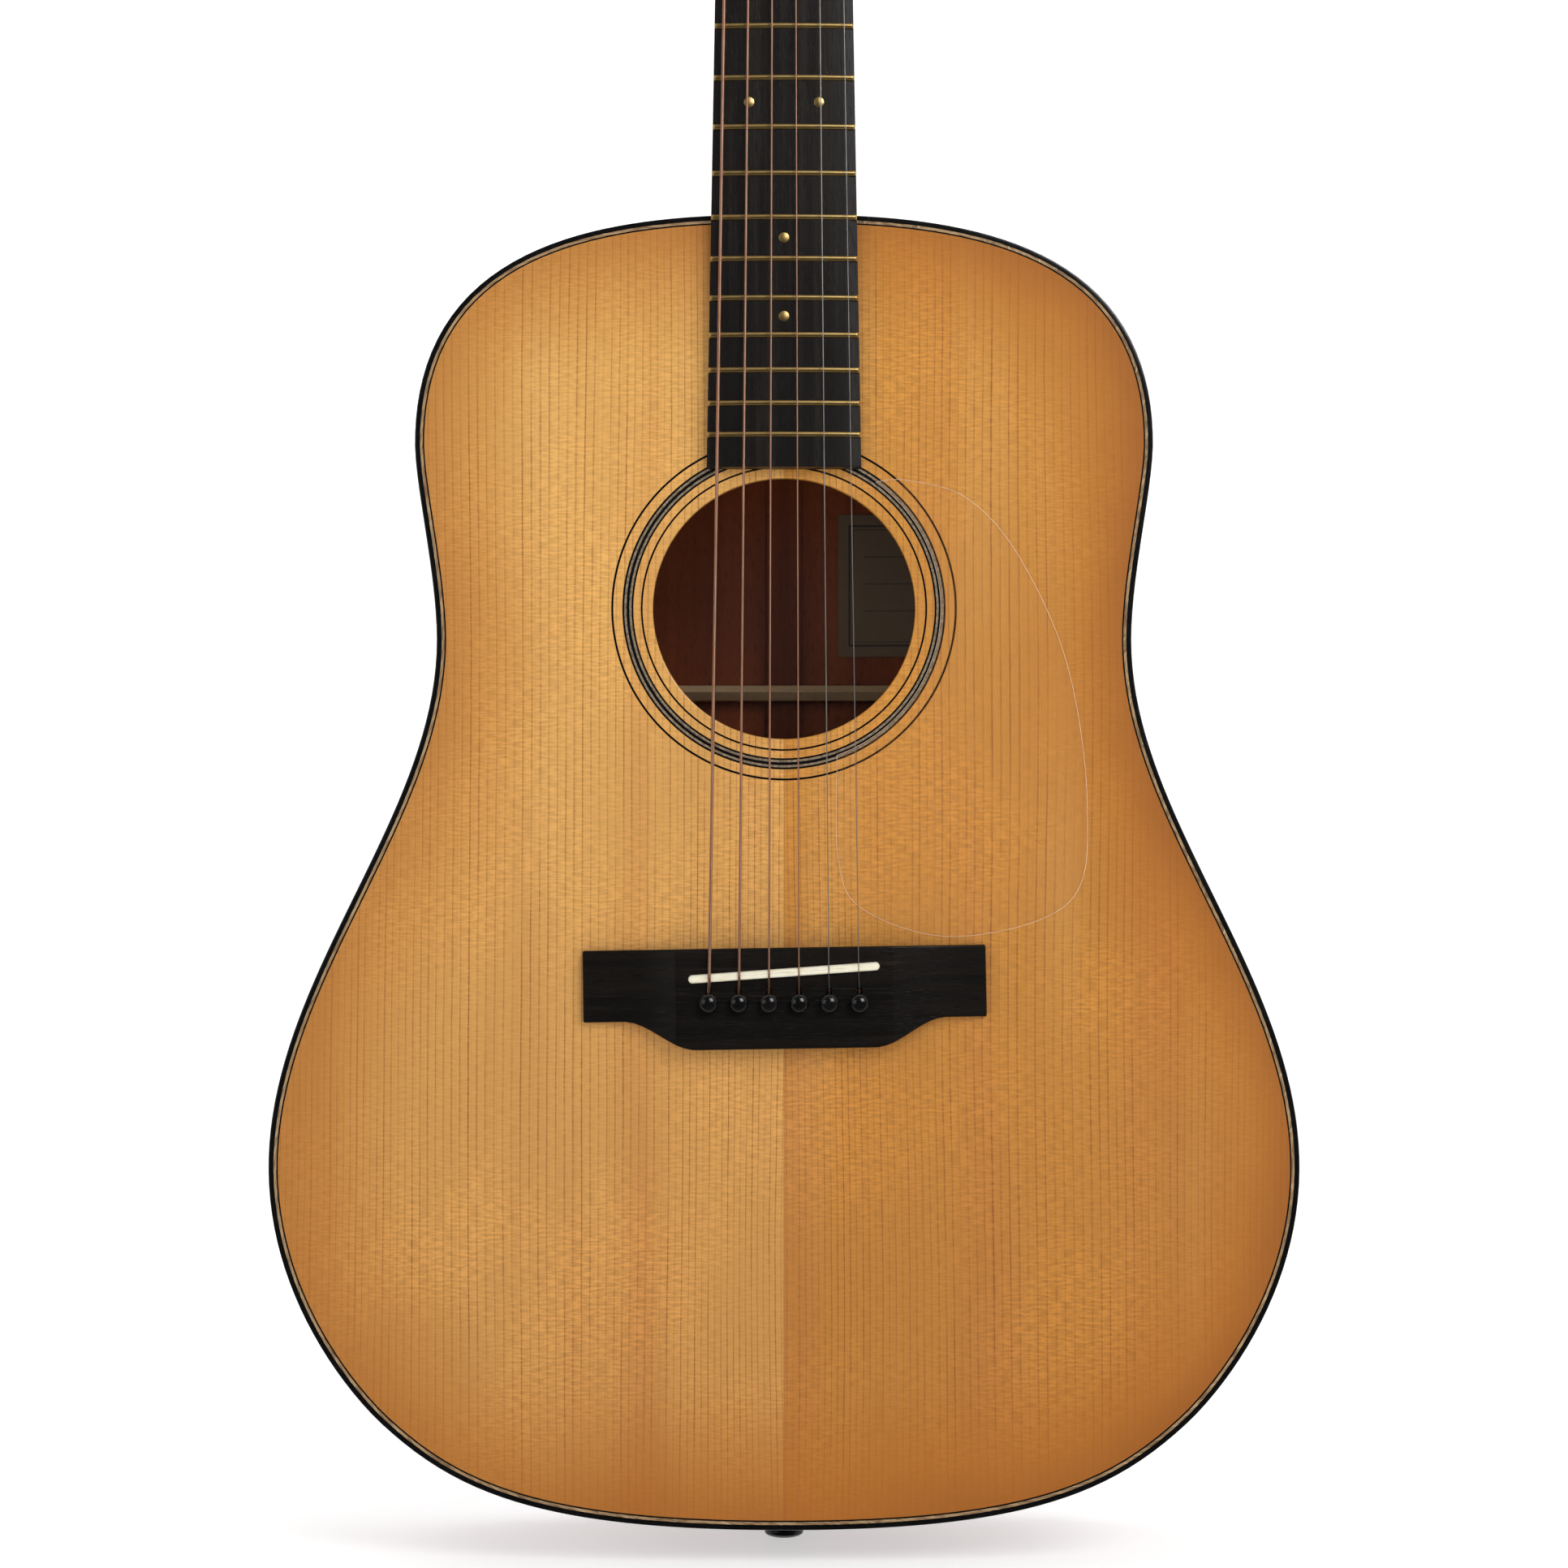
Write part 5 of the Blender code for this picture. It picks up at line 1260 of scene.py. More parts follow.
def tenon_room():
    """Room for the neck's tenon through the sides' upper ends."""
    top = TOP_THICKNESS + LINING_DEPTH + 2 * GAP
    bottom = DEPTH_AT_NECK - BACK_THICKNESS - LINING_DEPTH - 3 * GAP
    return block("tenon_room", (-0.0113, top, BODY_TOP - 0.0203), (0.0113, bottom, BODY_TOP + 0.01))


def end_pin_room():
    hole = turned("end_pin_room", [(TAIL - 0.03, 0.0048), (TAIL + 0.06, 0.0048)], 24)
    hole.data.transform(Matrix.Translation((0, back_edge(TAIL) / 2, 0)))
    return hole


def make_insides():
    """Braces, blocks and label keep their CAD shapes. The linings get their saw cuts, drawn with painted
    shade.
    """
    woods = {
        "x_brace_1": brace_spruce,
        "x_brace_2": brace_spruce,
        "upper_transverse_brace": brace_spruce,
        "tone_bar_1": brace_spruce,
        "tone_bar_2": brace_spruce,
        "back_brace_1": brace_spruce,
        "back_brace_2": brace_spruce,
        "back_brace_3": brace_spruce,
        "back_brace_4": brace_spruce,
        "back_centre_strip": bare_mahogany,
        "neck_block": lining_wood,
        "tail_block": lining_wood,
        "bridge_plate": lining_wood,
        "paper_label": label_paper,
        "truss_rod": rod_steel,
    }
    for node, recipe in woods.items():
        coat(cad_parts[node], recipe)
    outer = SIDE_THICKNESS + 0.0002
    inner = outer + LINING_THICKNESS
    lip = LINING_DEPTH * 0.35
    for name, near, sign in (("lining_top", TOP_THICKNESS + 0.0001, 1), ("lining_back", None, -1)):
        stations = body_stations(sizes().outline_steps)

        def level(distance):
            if near is None:
                return from_back(BACK_THICKNESS + 0.0001 + distance)
            return near + distance

        path = [(outer, level(0)), (inner, level(0)), (inner, level(lip)), (outer, level(LINING_DEPTH))]
        strip = skin(name, [rim(offset, depth, stations) for offset, depth in path], looped=True)
        turn_map(strip)
        node = "top_lining" if sign > 0 else "back_lining"
        finished(strip, kerfed_lining, "root", "lining_wood", node)


def make_end_pin():
    """A flanged pin with a hollow waist for the strap."""
    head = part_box("end_pin")[1].x
    waist = head * 0.66
    reach = END_PIN_REACH
    profile = [
        (0.017, 0.0036),
        (0.0002, 0.0044),
        (0.0, head * 0.88),
        (-0.0016, head * 0.9),
        (-0.0022, head * 0.86),
        (-0.0034, waist * 1.06),
        (-0.005, waist),
        (-reach * 0.5, waist),
        (-reach * 0.6, waist * 1.08),
        (-reach * 0.69, head * 0.86),
        (-reach * 0.74, head * 0.97),
        (-reach * 0.8, head),
        (-reach * 0.87, head * 0.97),
        (-reach * 0.93, head * 0.84),
        (-reach * 0.97, head * 0.6),
        (-reach * 0.995, head * 0.3),
        (-reach, head * 0.08),
    ]
    pin = turned("strap_pin", profile, 48)
    pin.data.transform(Matrix.Translation((0, back_edge(TAIL) / 2, TAIL)))
    finished(pin, black_gloss, "root", "black_plastic", "end_pin")


# ---------------------------------------------------------------- bridge


def string_share(number):
    """-0.5 for the lowest string to 0.5 for the highest."""
    return number / (len(STRING_DIAMETERS) - 1) - 0.5


def pin_x(number):
    return PIN_SPREAD * string_share(number)


def pin_holes(name):
    """Cutters for the pins' holes with a slot above each for its string."""
    half = STRING_SLOT_WIDTH / 2
    radius = PIN_RADIUS + 0.0002
    opening = math.asin(half / radius)
    cutters = []
    for i in range(6):
        loop = []
        for j in range(25):
            angle = opening + (2 * math.pi - 2 * opening) * j / 24
            loop.append((pin_x(i) + radius * math.sin(angle), PIN_Z + radius * math.cos(angle)))
        for across, up in ((-1, 0.0055), (-0.6, 0.0061), (0.6, 0.0061), (1, 0.0055)):
            loop.append((pin_x(i) + half * across, PIN_Z + up))
        cutters.append(prism(f"{name}_{i}", loop, -0.03, 0.02))
    return unite(name, cutters)


def bridge_height(x):
    """Thickness over the length: a level platform, then wings that sweep down."""
    past = max(abs(x) - BRIDGE_PLATFORM, 0) / (BRIDGE_LENGTH / 2 - BRIDGE_PLATFORM)
    return BRIDGE_TIP_THICKNESS + (BRIDGE_THICKNESS - BRIDGE_TIP_THICKNESS) * (1 - past) ** 2.8


def make_bridge():
    """The belly bridge, skewed a little, with its saddle slot and pin holes."""
    half = BRIDGE_LENGTH / 2
    extra = {BRIDGE_PLATFORM, BRIDGE_PLATFORM + 0.0008, half - 0.0004}
    stations = sorted({half * i / 24 for i in range(25)} | extra)
    rings = []
    for x in [-s for s in reversed(stations[1:])] + stations:
        tall = bridge_height(x) - (0.0004 if abs(x) == half else 0)
        narrowed = ease((abs(x) - BELLY_FLAT) / (BELLY_END - BELLY_FLAT))
        back = BRIDGE_BELLY - (BRIDGE_BELLY - BRIDGE_WING) * narrowed
        inset = 0.0004 if abs(x) == half else 0
        front = [(inset, 0), (inset, tall * 0.5), (inset, tall - 0.0008)]
        for degrees in (30, 60, 90):
            turn = math.radians(degrees)
            front.append((inset + 0.0008 * (1 - math.cos(turn)), tall - 0.0008 * (1 - math.sin(turn))))
        section = front + [(back - down, up) for down, up in reversed(front)]
        rings.append([(x, -up, -down) for down, up in section])
    wood = skin("bridge_wood", rings)
    wood.data.transform(Matrix.Translation((0, -0.00004, BRIDGE_Z)) @ Matrix.Rotation(-BRIDGE_SKEW, 4, "Y"))
    cut(wood, pin_holes("bridge_pin_holes"))
    cut(wood, saddle_block("saddle_slot", 0.00006, True))
    bevel(wood, 0.00015, 1, 50)
    finished(wood, bridge_rosewood, "root", "bridge_rosewood", "bridge", degrees=38)
    finished(saddle_block("saddle_bone", 0, False), bone, "root", "bone", "saddle", degrees=50)


def saddle_block(name, clearance, as_cutter):
    """The saddle, its top rounded over and crowned like the fingerboard, or room for it."""
    radius = SADDLE_WIDTH / 2 + clearance
    straight = SADDLE_LENGTH / 2 - SADDLE_WIDTH / 2
    bottom = -BRIDGE_THICKNESS + SADDLE_SLOT_DEPTH - clearance

    def loop(inset, y):
        right = []
        for degrees in range(-90, 91, 15):
            turn = math.radians(degrees)
            right.append((straight + (radius - inset) * math.cos(turn), (radius - inset) * math.sin(turn)))
        top = [(straight - 2 * straight * i / 16, radius - inset) for i in range(1, 16)]
        half = right + top
        ring = half + [(-x, -z) for x, z in half]
        return [(x, y(x) if callable(y) else y, z) for x, z in ring]

    def crown(below):
        return lambda x: -(fret_plane(x) + string_clearance(SADDLE_Z) - 0.00002) + below

    rings = [loop(0, bottom), loop(0, -BRIDGE_THICKNESS * 1.02)]
    if as_cutter:
        rings.append(loop(0, -0.03))
    else:
        for share, below in ((0, 0.0011), (0.12, 0.0005), (0.35, 0.00018), (0.65, 0.00003), (0.97, 0)):
            rings.append(loop(radius * share, crown(below)))
    shape = skin(name, rings)
    shape.data.transform(Matrix.Translation((0, 0, SADDLE_Z)) @ Matrix.Rotation(-SADDLE_SLOPE, 4, "Y"))
    return shape


def make_pins():
    """Ball-headed pins with a collar, which pull straight out."""
    head = PIN_HEAD_RADIUS
    seat = BRIDGE_THICKNESS + 0.0002
    tip = seat - PIN_LENGTH
    profile = [(tip + 0.0006, PIN_RADIUS * 0.6), (tip + 0.0016, PIN_RADIUS * 0.78)]
    profile += [(seat - 0.0002, PIN_RADIUS * 0.96), (seat, PIN_RADIUS)]
    profile += [(seat, head * 0.72), (seat + 0.0004, head * 0.84)]
    middle = seat + 0.0018
    for degrees in (-14, 0, 14, 28, 42, 56, 68, 80, 88):
        turn = math.radians(degrees)
        profile.append((middle + head * 0.68 * math.sin(turn), head * math.cos(turn)))
    pattern = turned("pin_pattern", profile, 36)
    smooth(pattern)
    coat(pattern, black_gloss)
    stand = Matrix.Rotation(math.pi / 2, 4, "X")
    for i in range(6):
        pin = twin(pattern, f"pin_{i + 1}", Matrix.Translation((pin_x(i), 0, PIN_Z)) @ stand)
        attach(pin, f"bridge_pin_{i + 1}")
        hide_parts(f"bridge_pin_{i + 1}")
    bpy.data.objects.remove(pattern)


def make_pickguard():
    """A film whose inner edge follows the rosette, its cut edge rounded."""
    span = SOUNDHOLE_Z - BRIDGE_Z
    outer = smooth_through([(x, SOUNDHOLE_Z - share * span) for x, share in PICKGUARD_SHARES], 12)
    ends = [math.atan2(end.y - SOUNDHOLE_Z, end.x) for end in (outer[-1], outer[0])]
    inner = []
    for i in range(61):
        angle = ends[0] + (ends[1] - ends[0]) * i / 60
        inner.append((PICKGUARD_ARC * math.cos(angle), SOUNDHOLE_Z + PICKGUARD_ARC * math.sin(angle)))
    loop = [(p.x, p.y) for p in outer[1:-1]] + inner
    film = prism("pickguard_film", loop, -0.00015, -0.00015 - PICKGUARD_THICKNESS, 0.00016, 2)
    finished(film, clear_film, "root", "clear_film", "pickguard", degrees=20)
    # The cut edge gets a painted highlight.
    coat(film, film_edge, 1)
    for face in film.data.polygons:
        if abs(face.normal.y) < 0.97:
            face.material_index = 1


# ---------------------------------------------------------------- neck and fingerboard


def fret_z(number):
    return -SCALE_LENGTH * (1 - 2 ** (-number / 12))


def fret_plane(x):
    """How far the crowned fret tops stand in front of the soundboard's plane."""
    return GAP + BOARD_THICKNESS + FRET_HEIGHT - x * x / (2 * BOARD_RADIUS)


def string_clearance(z):
    """Space between the fret tops and a string's underside."""
    return ACTION_AT_NUT + (ACTION_AT_OCTAVE - ACTION_AT_NUT) * -z / (SCALE_LENGTH / 2)


def string_point(number, z):
    """A string's centre where it runs over the fingerboard and the soundhole."""
    spread = NUT_STRING_SPREAD + (SADDLE_STRING_SPREAD - NUT_STRING_SPREAD) * z / SADDLE_Z
    x = spread * string_share(number)
    return Vector((x, -fret_plane(x) - string_clearance(z) - STRING_DIAMETERS[number] / 2, z))


def board_half_width(z):
    return NUT_WIDTH / 2 + (BOARD_END_WIDTH - NUT_WIDTH) / 2 * z / BOARD_END


def head_half_width(height):
    """Half the headstock's width at a height along it."""
    share = (height - HEAD_SHOULDER_START) / (HEAD_SHOULDER - HEAD_SHOULDER_START)
    shoulder = NUT_WIDTH / 2 + (HEAD_WIDTH - NUT_WIDTH) / 2 * ease(share)
    past = max(height - HEAD_LENGTH + HEAD_CORNER, 0) / HEAD_CORNER
    rounding = 1 - math.sqrt(max(1 - min(past, 1) ** 2, 0))
    return shoulder - HEAD_CORNER * rounding


def head_heights():
    """Heights at which the headstock's outline is drawn: up the shoulder, and round the top corners."""
    rise = HEAD_SHOULDER - HEAD_SHOULDER_START
    heights = [HEAD_SHOULDER_START + rise * (i / 12) for i in range(1, 13)]
    straight = HEAD_LENGTH - HEAD_CORNER
    return heights + [straight + HEAD_CORNER * math.sin(math.radians(9 * i)) for i in range(11)]


def neck_profile(half_width, depth, squareness, narrowing=lambda y: 1):
    """Points from the treble edge round the back to the bass edge, as (x, y)."""
    corner = 0.12
    half = []
    for i in range(17):
        share = i / 16
        angle = math.pi / 2 * share
        if share < 0.5:
            box = (1, share * 2 * (1 - corner))
        elif share == 0.5:
            box = (1 - corner * 0.12, 1 - corner * 0.5)
        else:
            box = (1 - corner - (1 - corner) * (share - 0.5) * 2 * 0.999, 1)
        x = math.cos(angle) * (1 - squareness) + box[0] * squareness
        y = math.sin(angle) ** 0.85 * (1 - squareness) + box[1] * squareness
        half.append((half_width * x * narrowing(depth * y), depth * y))
    half[-1] = (0.0, depth)
    return half + [(-x, y) for x, y in reversed(half[:-1])]


def heel_narrowing(y):
    """The heel is as wide as the neck at the front and as narrow as its cap at the back."""
    cap = HEEL_CAP_WIDTH / (2 * board_half_width(BODY_TOP))
    return 1 - (1 - cap) * ease((y - NECK_DEPTH_AT_HEEL) / (HEEL_DEPTH - NECK_DEPTH_AT_HEEL))


def make_neck():
    """Shaft, heel and headstock as one skin, with the tuners' holes and the truss rod's pocket."""
    end = BODY_TOP + 0.0001
    heel_top = end + HEEL_LENGTH
    front = -0.00002
    rings = []

    def level(z, profile):
        across = [(profile[0][0] * 0.5, front, z), (0, front, z), (-profile[0][0] * 0.5, front, z)]
        rings.append([(x, max(y, 0) + front, z) for x, y in profile] + list(reversed(across)))

    for z in (end, end + HEEL_LENGTH * 0.3, end + HEEL_LENGTH * 0.6, end + HEEL_LENGTH * 0.85, heel_top):
        level(z, neck_profile(board_half_width(z), HEEL_DEPTH, HEEL_SQUARENESS, heel_narrowing))
    for i in range(1, 25):
        share = (i / 24) ** 1.4
        z = heel_top + HEEL_SWEEP * share
        depth = NECK_DEPTH_AT_HEEL + (HEEL_DEPTH - NECK_DEPTH_AT_HEEL) * (1 - share) ** 2.3
        squareness = HEEL_SQUARENESS * (1 - share) ** 2
        level(z, neck_profile(board_half_width(z), depth, squareness, heel_narrowing))
    shaft_start = heel_top + HEEL_SWEEP
    for i in range(1, 15):
        share = i / 14
        z = shaft_start * (1 - share)
        depth = NECK_DEPTH_AT_HEEL + (NECK_DEPTH_AT_NUT - NECK_DEPTH_AT_HEEL) * share
        level(z, neck_profile(board_half_width(z), depth, 0))
    level(NUT_THICKNESS, neck_profile(NUT_WIDTH / 2, NECK_DEPTH_AT_NUT, 0.03))
    for i, height in enumerate(head_heights()):
        squareness = ease(i / 9)
        profile = neck_profile(head_half_width(height), HEAD_THICKNESS, squareness)
        across = [(profile[0][0] * part, 0) for part in (-0.5, 0, 0.5)]
        rings.append([HEAD @ Vector((x, y, height)) for x, y in profile + across])
    wood = skin("neck_wood", rings)
    cut(wood, rod_pocket("rod_pocket", -0.02))
    cut(wood, post_holes("neck_post_holes", POST_RADIUS + 0.00025))
    smooth(wood, 32)
    finished(wood, neck_mahogany, "root", "neck_mahogany", "neck", degrees=32)
    half = board_half_width(end) * heel_narrowing(HEEL_DEPTH)
    arc = []
    for i in range(13):
        turn = math.pi / 2 * i / 12
        share = 0.55 + 0.45 * math.cos(turn) if i < 12 else 0.4
        arc.append((half * share, end + HEEL_LENGTH * (0.5 + 0.5 * math.sin(turn))))
    loop = [(half, end), *arc]
    loop += [(-x, z) for x, z in reversed(loop)]
    cap_back = HEEL_DEPTH + HEEL_CAP_THICKNESS + GAP
    cap = prism("heel_cap_plate", loop, HEEL_DEPTH + 0.00003, cap_back, 0.0005, 2)
    finished(cap, black_gloss, "root", "black_plastic", "heel_cap")


def rod_pocket(name, front):
    """A cutter for the pocket that the rod's nut turns in, from a front face on."""
    half = ROD_POCKET_WIDTH / 2
    return block(name, (-half, front, NUT_THICKNESS + 0.003), (half, 0.0108, NUT_THICKNESS + 0.027))


def post_holes(name, radius):
    """Cutters square to the headstock, one for each post."""
    cutters = []
    for side in (-1, 1):
        for row in range(3):
            loop = circle(radius, 24, (side * POST_X, POST_FIRST + row * POST_SPACING))
            cutters.append(prism(f"{name}_{side}_{row}", loop, -0.02, 0.03))
    joined = unite(name, cutters)
    joined.data.transform(HEAD)
    return joined


def make_fingerboard():
    """The crowned board, its frets, and dots on its face and edge."""
    rings = []
    for z, small in ((-0.00002, 0), (BOARD_END + 0.0004, 0), (BOARD_END, 0.0004)):
        half = board_half_width(z) - small
        top = []
        for i in range(13):
            x = half * (1 - i / 6)
            drop = 0.0005 * (abs(i - 6) == 6)
            top.append((x, -(fret_plane(x) - FRET_HEIGHT - drop - small), z))
        rings.append([(-half, -0.00002, z), (half, -0.00002, z), *top])
    board = skin("fingerboard_wood", rings)
    finished(board, ebony, "root", "ebony", "fingerboard", degrees=25)
    make_frets()
    make_dots()


def make_frets():
    """Crowned wire across the board, its ends filed to a slope."""
    half_wire = sizes().fret_width / 2
    for number in range(1, FRET_COUNT + 1):
        z = fret_z(number)
        half = board_half_width(z)
        rings = []
        for share in (-1, -0.985, -0.96, -0.6, -0.3, 0, 0.3, 0.6, 0.96, 0.985, 1):
            x = half * share
            tall = FRET_HEIGHT * (0.12 if abs(share) == 1 else 0.72 if abs(share) == 0.985 else 1)
            base = fret_plane(x) - FRET_HEIGHT - 0.00008
            ring = []
            for i in range(11):
                turn = math.pi * i / 10
                rise = base + (tall + 0.00006) * math.sin(turn) ** 0.9
                ring.append((x, -rise, z + half_wire * math.cos(turn)))
            rings.append(ring)
        finished(skin(f"fret_{number}", rings), fret_brass, "root", "ebony", degrees=40)


def make_dots():
    """Brass dots between the frets, and small ones on the bass edge."""
    places = []
    for number in SINGLE_DOTS:
        places.append((0.0, (fret_z(number) + fret_z(number - 1)) / 2, str(number)))
    middle = (fret_z(DOUBLE_DOT) + fret_z(DOUBLE_DOT - 1)) / 2
    for i, side in enumerate((-1, 1)):
        places.append((side * DOUBLE_DOT_SPREAD / 2, middle, f"{DOUBLE_DOT}_{i + 1}"))
    radius = sizes().dot_diameter / 2
    pattern = turned("dot_pattern", [(0, radius), (0.0009, radius), (0.00095, radius * 0.96)], 40)
    smooth(pattern)
    coat(pattern, fret_brass)
    for x, z, label in places:
        face = fret_plane(x) - FRET_HEIGHT
        stand = Matrix.Translation((x, -face + 0.0009, z)) @ Matrix.Rotation(math.pi / 2, 4, "X")
        dot = twin(pattern, f"dot_{label}", stand)
        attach(dot, "root")
    small = sizes().side_dot_diameter / 2 / radius
    for _, z, label in places:
        shift = 0.004 if label.startswith(f"{DOUBLE_DOT}_") else 0
        z = z + (shift if label.endswith("_1") else -shift)
        place = (-board_half_width(z) + 0.0009, -BOARD_THICKNESS * 0.5, z)
        stand = Matrix.Translation(place) @ Matrix.Rotation(-math.pi / 2, 4, "Y")
        stand = stand @ Matrix.Diagonal((small, small, 1, 1))
        dot = twin(pattern, f"side_dot_{label}", stand)
        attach(dot, "root")
    bpy.data.objects.remove(pattern)


def make_nut():
    """The slotted bone nut with its edges eased."""
    piece = from_cad("nut", "nut_bone", 0.00025)
    finished(piece, bone, "root", "bone", "nut")


# ---------------------------------------------------------------- headstock and tuners


def make_headstock():
    """The rosewood overlay, the truss rod's cover with its screws, and the rod's nut."""
    right = [(head_half_width(h) - 0.0002, h) for h in [0.002, *head_heights()]]
    loop = right + [(-x, h) for x, h in reversed(right)]
    plate = prism("head_overlay", loop, -HEAD_FACE, -0.00003, 0.0003)
    plate.data.transform(HEAD)
    cut(plate, rod_pocket("overlay_pocket", -0.03))
    cut(plate, post_holes("overlay_post_holes", POST_RADIUS + 0.00025))
    finished(plate, head_rosewood, "root", "bridge_rosewood", "head_plate")

    low, high = 0.0035, 0.0405
    bell = []
    for i in range(21):
        share = i / 20
        if share < 0.86:
            flare = 0.95 - 0.42 * ease(share * 1.15)
        else:
            flare = 0.53 * math.sqrt(max(1 - ((share - 0.86) / 0.14) ** 2, 0))
        bell.append((ROD_POCKET_WIDTH * max(flare, 0.02), low + (high - low) * share))
    loop = bell + [(-x, z) for x, z in reversed(bell)]
    cover = prism("rod_cover", loop, -HEAD_FACE - 0.0017, -HEAD_FACE - 0.00003, 0.0004)
    cover.data.transform(HEAD)
    finished(cover, black_gloss, "root", "black_plastic", "truss_rod_cover")
    screw = screw_pattern(0.0016, 0.0007)
    for i, height in enumerate((low + 0.004, high - 0.006)):
        place = HEAD @ Matrix.Translation((0, -HEAD_FACE - 0.0017, height))
        place = place @ Matrix.Rotation(math.pi / 2, 4, "X")
        piece = twin(screw, f"cover_screw_{i + 1}", place)
        finished(piece, nickel, "root", "nickel")
    bpy.data.objects.remove(screw)
    nut = from_cad("truss_rod_nut", "rod_nut", 0.0003)
    finished(nut, rod_steel, "truss_rod_nut", "steel", "truss_rod_nut")


def screw_pattern(radius, height):
    """A domed head with a cross recess, standing on z = 0."""
    profile = [(-0.0004, radius * 0.6), (0, radius * 0.6), (0, radius), (height * 0.35, radius)]
    profile += [(height * 0.7, radius * 0.82), (height * 0.93, radius * 0.5), (height, radius * 0.15)]
    head = turned("screw_pattern", profile, 28)
    slot = radius * 0.14
    reach = radius * 0.62
    arms = [
        block("arm_1", (-slot, -reach, height * 0.35), (slot, reach, height * 2)),
        block("arm_2", (-reach, -slot, height * 0.35), (reach, slot, height * 2)),
    ]
    for arm in arms:
        cut(head, arm)
    return head


def tuner_places():
    """(string number, side, height along the headstock) of each tuner."""
    bass = [(i, -1, POST_FIRST + i * POST_SPACING) for i in range(3)]
    treble = [(5 - i, 1, POST_FIRST + i * POST_SPACING) for i in range(3)]
    return sorted(bass + treble)


def make_tuner_plates():
    """Two plates with round ends, their ears, screws and the posts' bushings."""
    half = TUNER_PLATE_WIDTH / 2
    low = POST_FIRST - WORM_OFFSET - 0.006 + half * 0.72
    high = POST_FIRST + 2 * POST_SPACING + WORM_OFFSET + 0.008 - half * 0.72
    screw = screw_pattern(0.0017, 0.0008)
    inset = 0.0035
    hole = POST_RADIUS + 0.0002
    washer_ring = [(hole, 0.0), (0.0052, 0.0), (0.0052, 0.0008), (0.0046, 0.0014)]
    washer_ring += [(POST_RADIUS + 0.0004, 0.0016), (hole, 0.0016)]
    for name, side in (("bass", -1), ("treble", 1)):
        centre = side * POST_X
        loop = []
        for middle, start in ((high, 0), (low, 180)):
            for degrees in range(start, start + 181, 12):
                turn = math.radians(degrees)
                loop.append((centre + half * math.cos(turn), middle + half * 0.72 * math.sin(turn)))
        plate = prism(f"tuner_base_{name}", loop, HEAD_THICKNESS + 0.00004, TUNER_PLATE_BACK, 0.00025)
        ears, cutters = [plate], []
        for row in range(3):
            post = POST_FIRST + row * POST_SPACING
            worm = post + WORM_OFFSET
            for place in (-1, 1):
                x = centre + place * EAR_SPREAD / 2
                corner = (x - EAR_THICKNESS / 2, TUNER_PLATE_BACK - 0.0004, worm - 0.0034)
                far = (x + EAR_THICKNESS / 2, WORM_Y + WORM_RADIUS + 0.0011, worm + 0.0034)
                ears.append(block(f"ear_{name}_{row}_{place}", corner, far, 0.0003))
            bore = WORM_RADIUS + 0.00015
            tunnel = turned(f"tunnel_{name}_{row}", [(-0.02, bore), (0.02, bore)], 24)
            spot = Matrix.Translation((centre, WORM_Y, worm)) @ Matrix.Rotation(math.pi / 2, 4, "Y")
            tunnel.data.transform(spot)
            cutters.append(tunnel)
            cutters.append(prism(f"bore_{name}_{row}", circle(hole, 24, (centre, post)), 0.01, 0.0149))
        plate = unite(f"tuner_base_{name}", ears)
        cut(plate, unite(f"tunnels_{name}", cutters))
        plate.data.transform(HEAD)
        finished(plate, nickel, "root", "nickel", f"tuner_plate_{name}")
        spots = [low - half * 0.72 + inset, POST_FIRST + 0.02 + inset]
        spots += [POST_FIRST + 0.06 + inset, high + half * 0.72 - inset]
        for i, height in enumerate(spots):
            place = HEAD @ Matrix.Translation((centre, TUNER_PLATE_BACK, height))
            place = place @ Matrix.Rotation(-math.pi / 2, 4, "X")
            finished(twin(screw, f"plate_screw_{name}_{i + 1}", place), nickel, "root", "nickel")
        for row in range(3):
            height = POST_FIRST + row * POST_SPACING
            rings = []
            for radius, lift in washer_ring:
                edge = circle(radius, 36, (centre, height))
                rings.append([(x, -HEAD_FACE - lift - 0.00002, z) for x, z in edge])
            bushing = skin(f"bushing_{name}_{row + 1}", rings, looped=True)
            bushing.data.transform(HEAD)
            finished(bushing, nickel, "root", "nickel")
    bpy.data.objects.remove(screw)


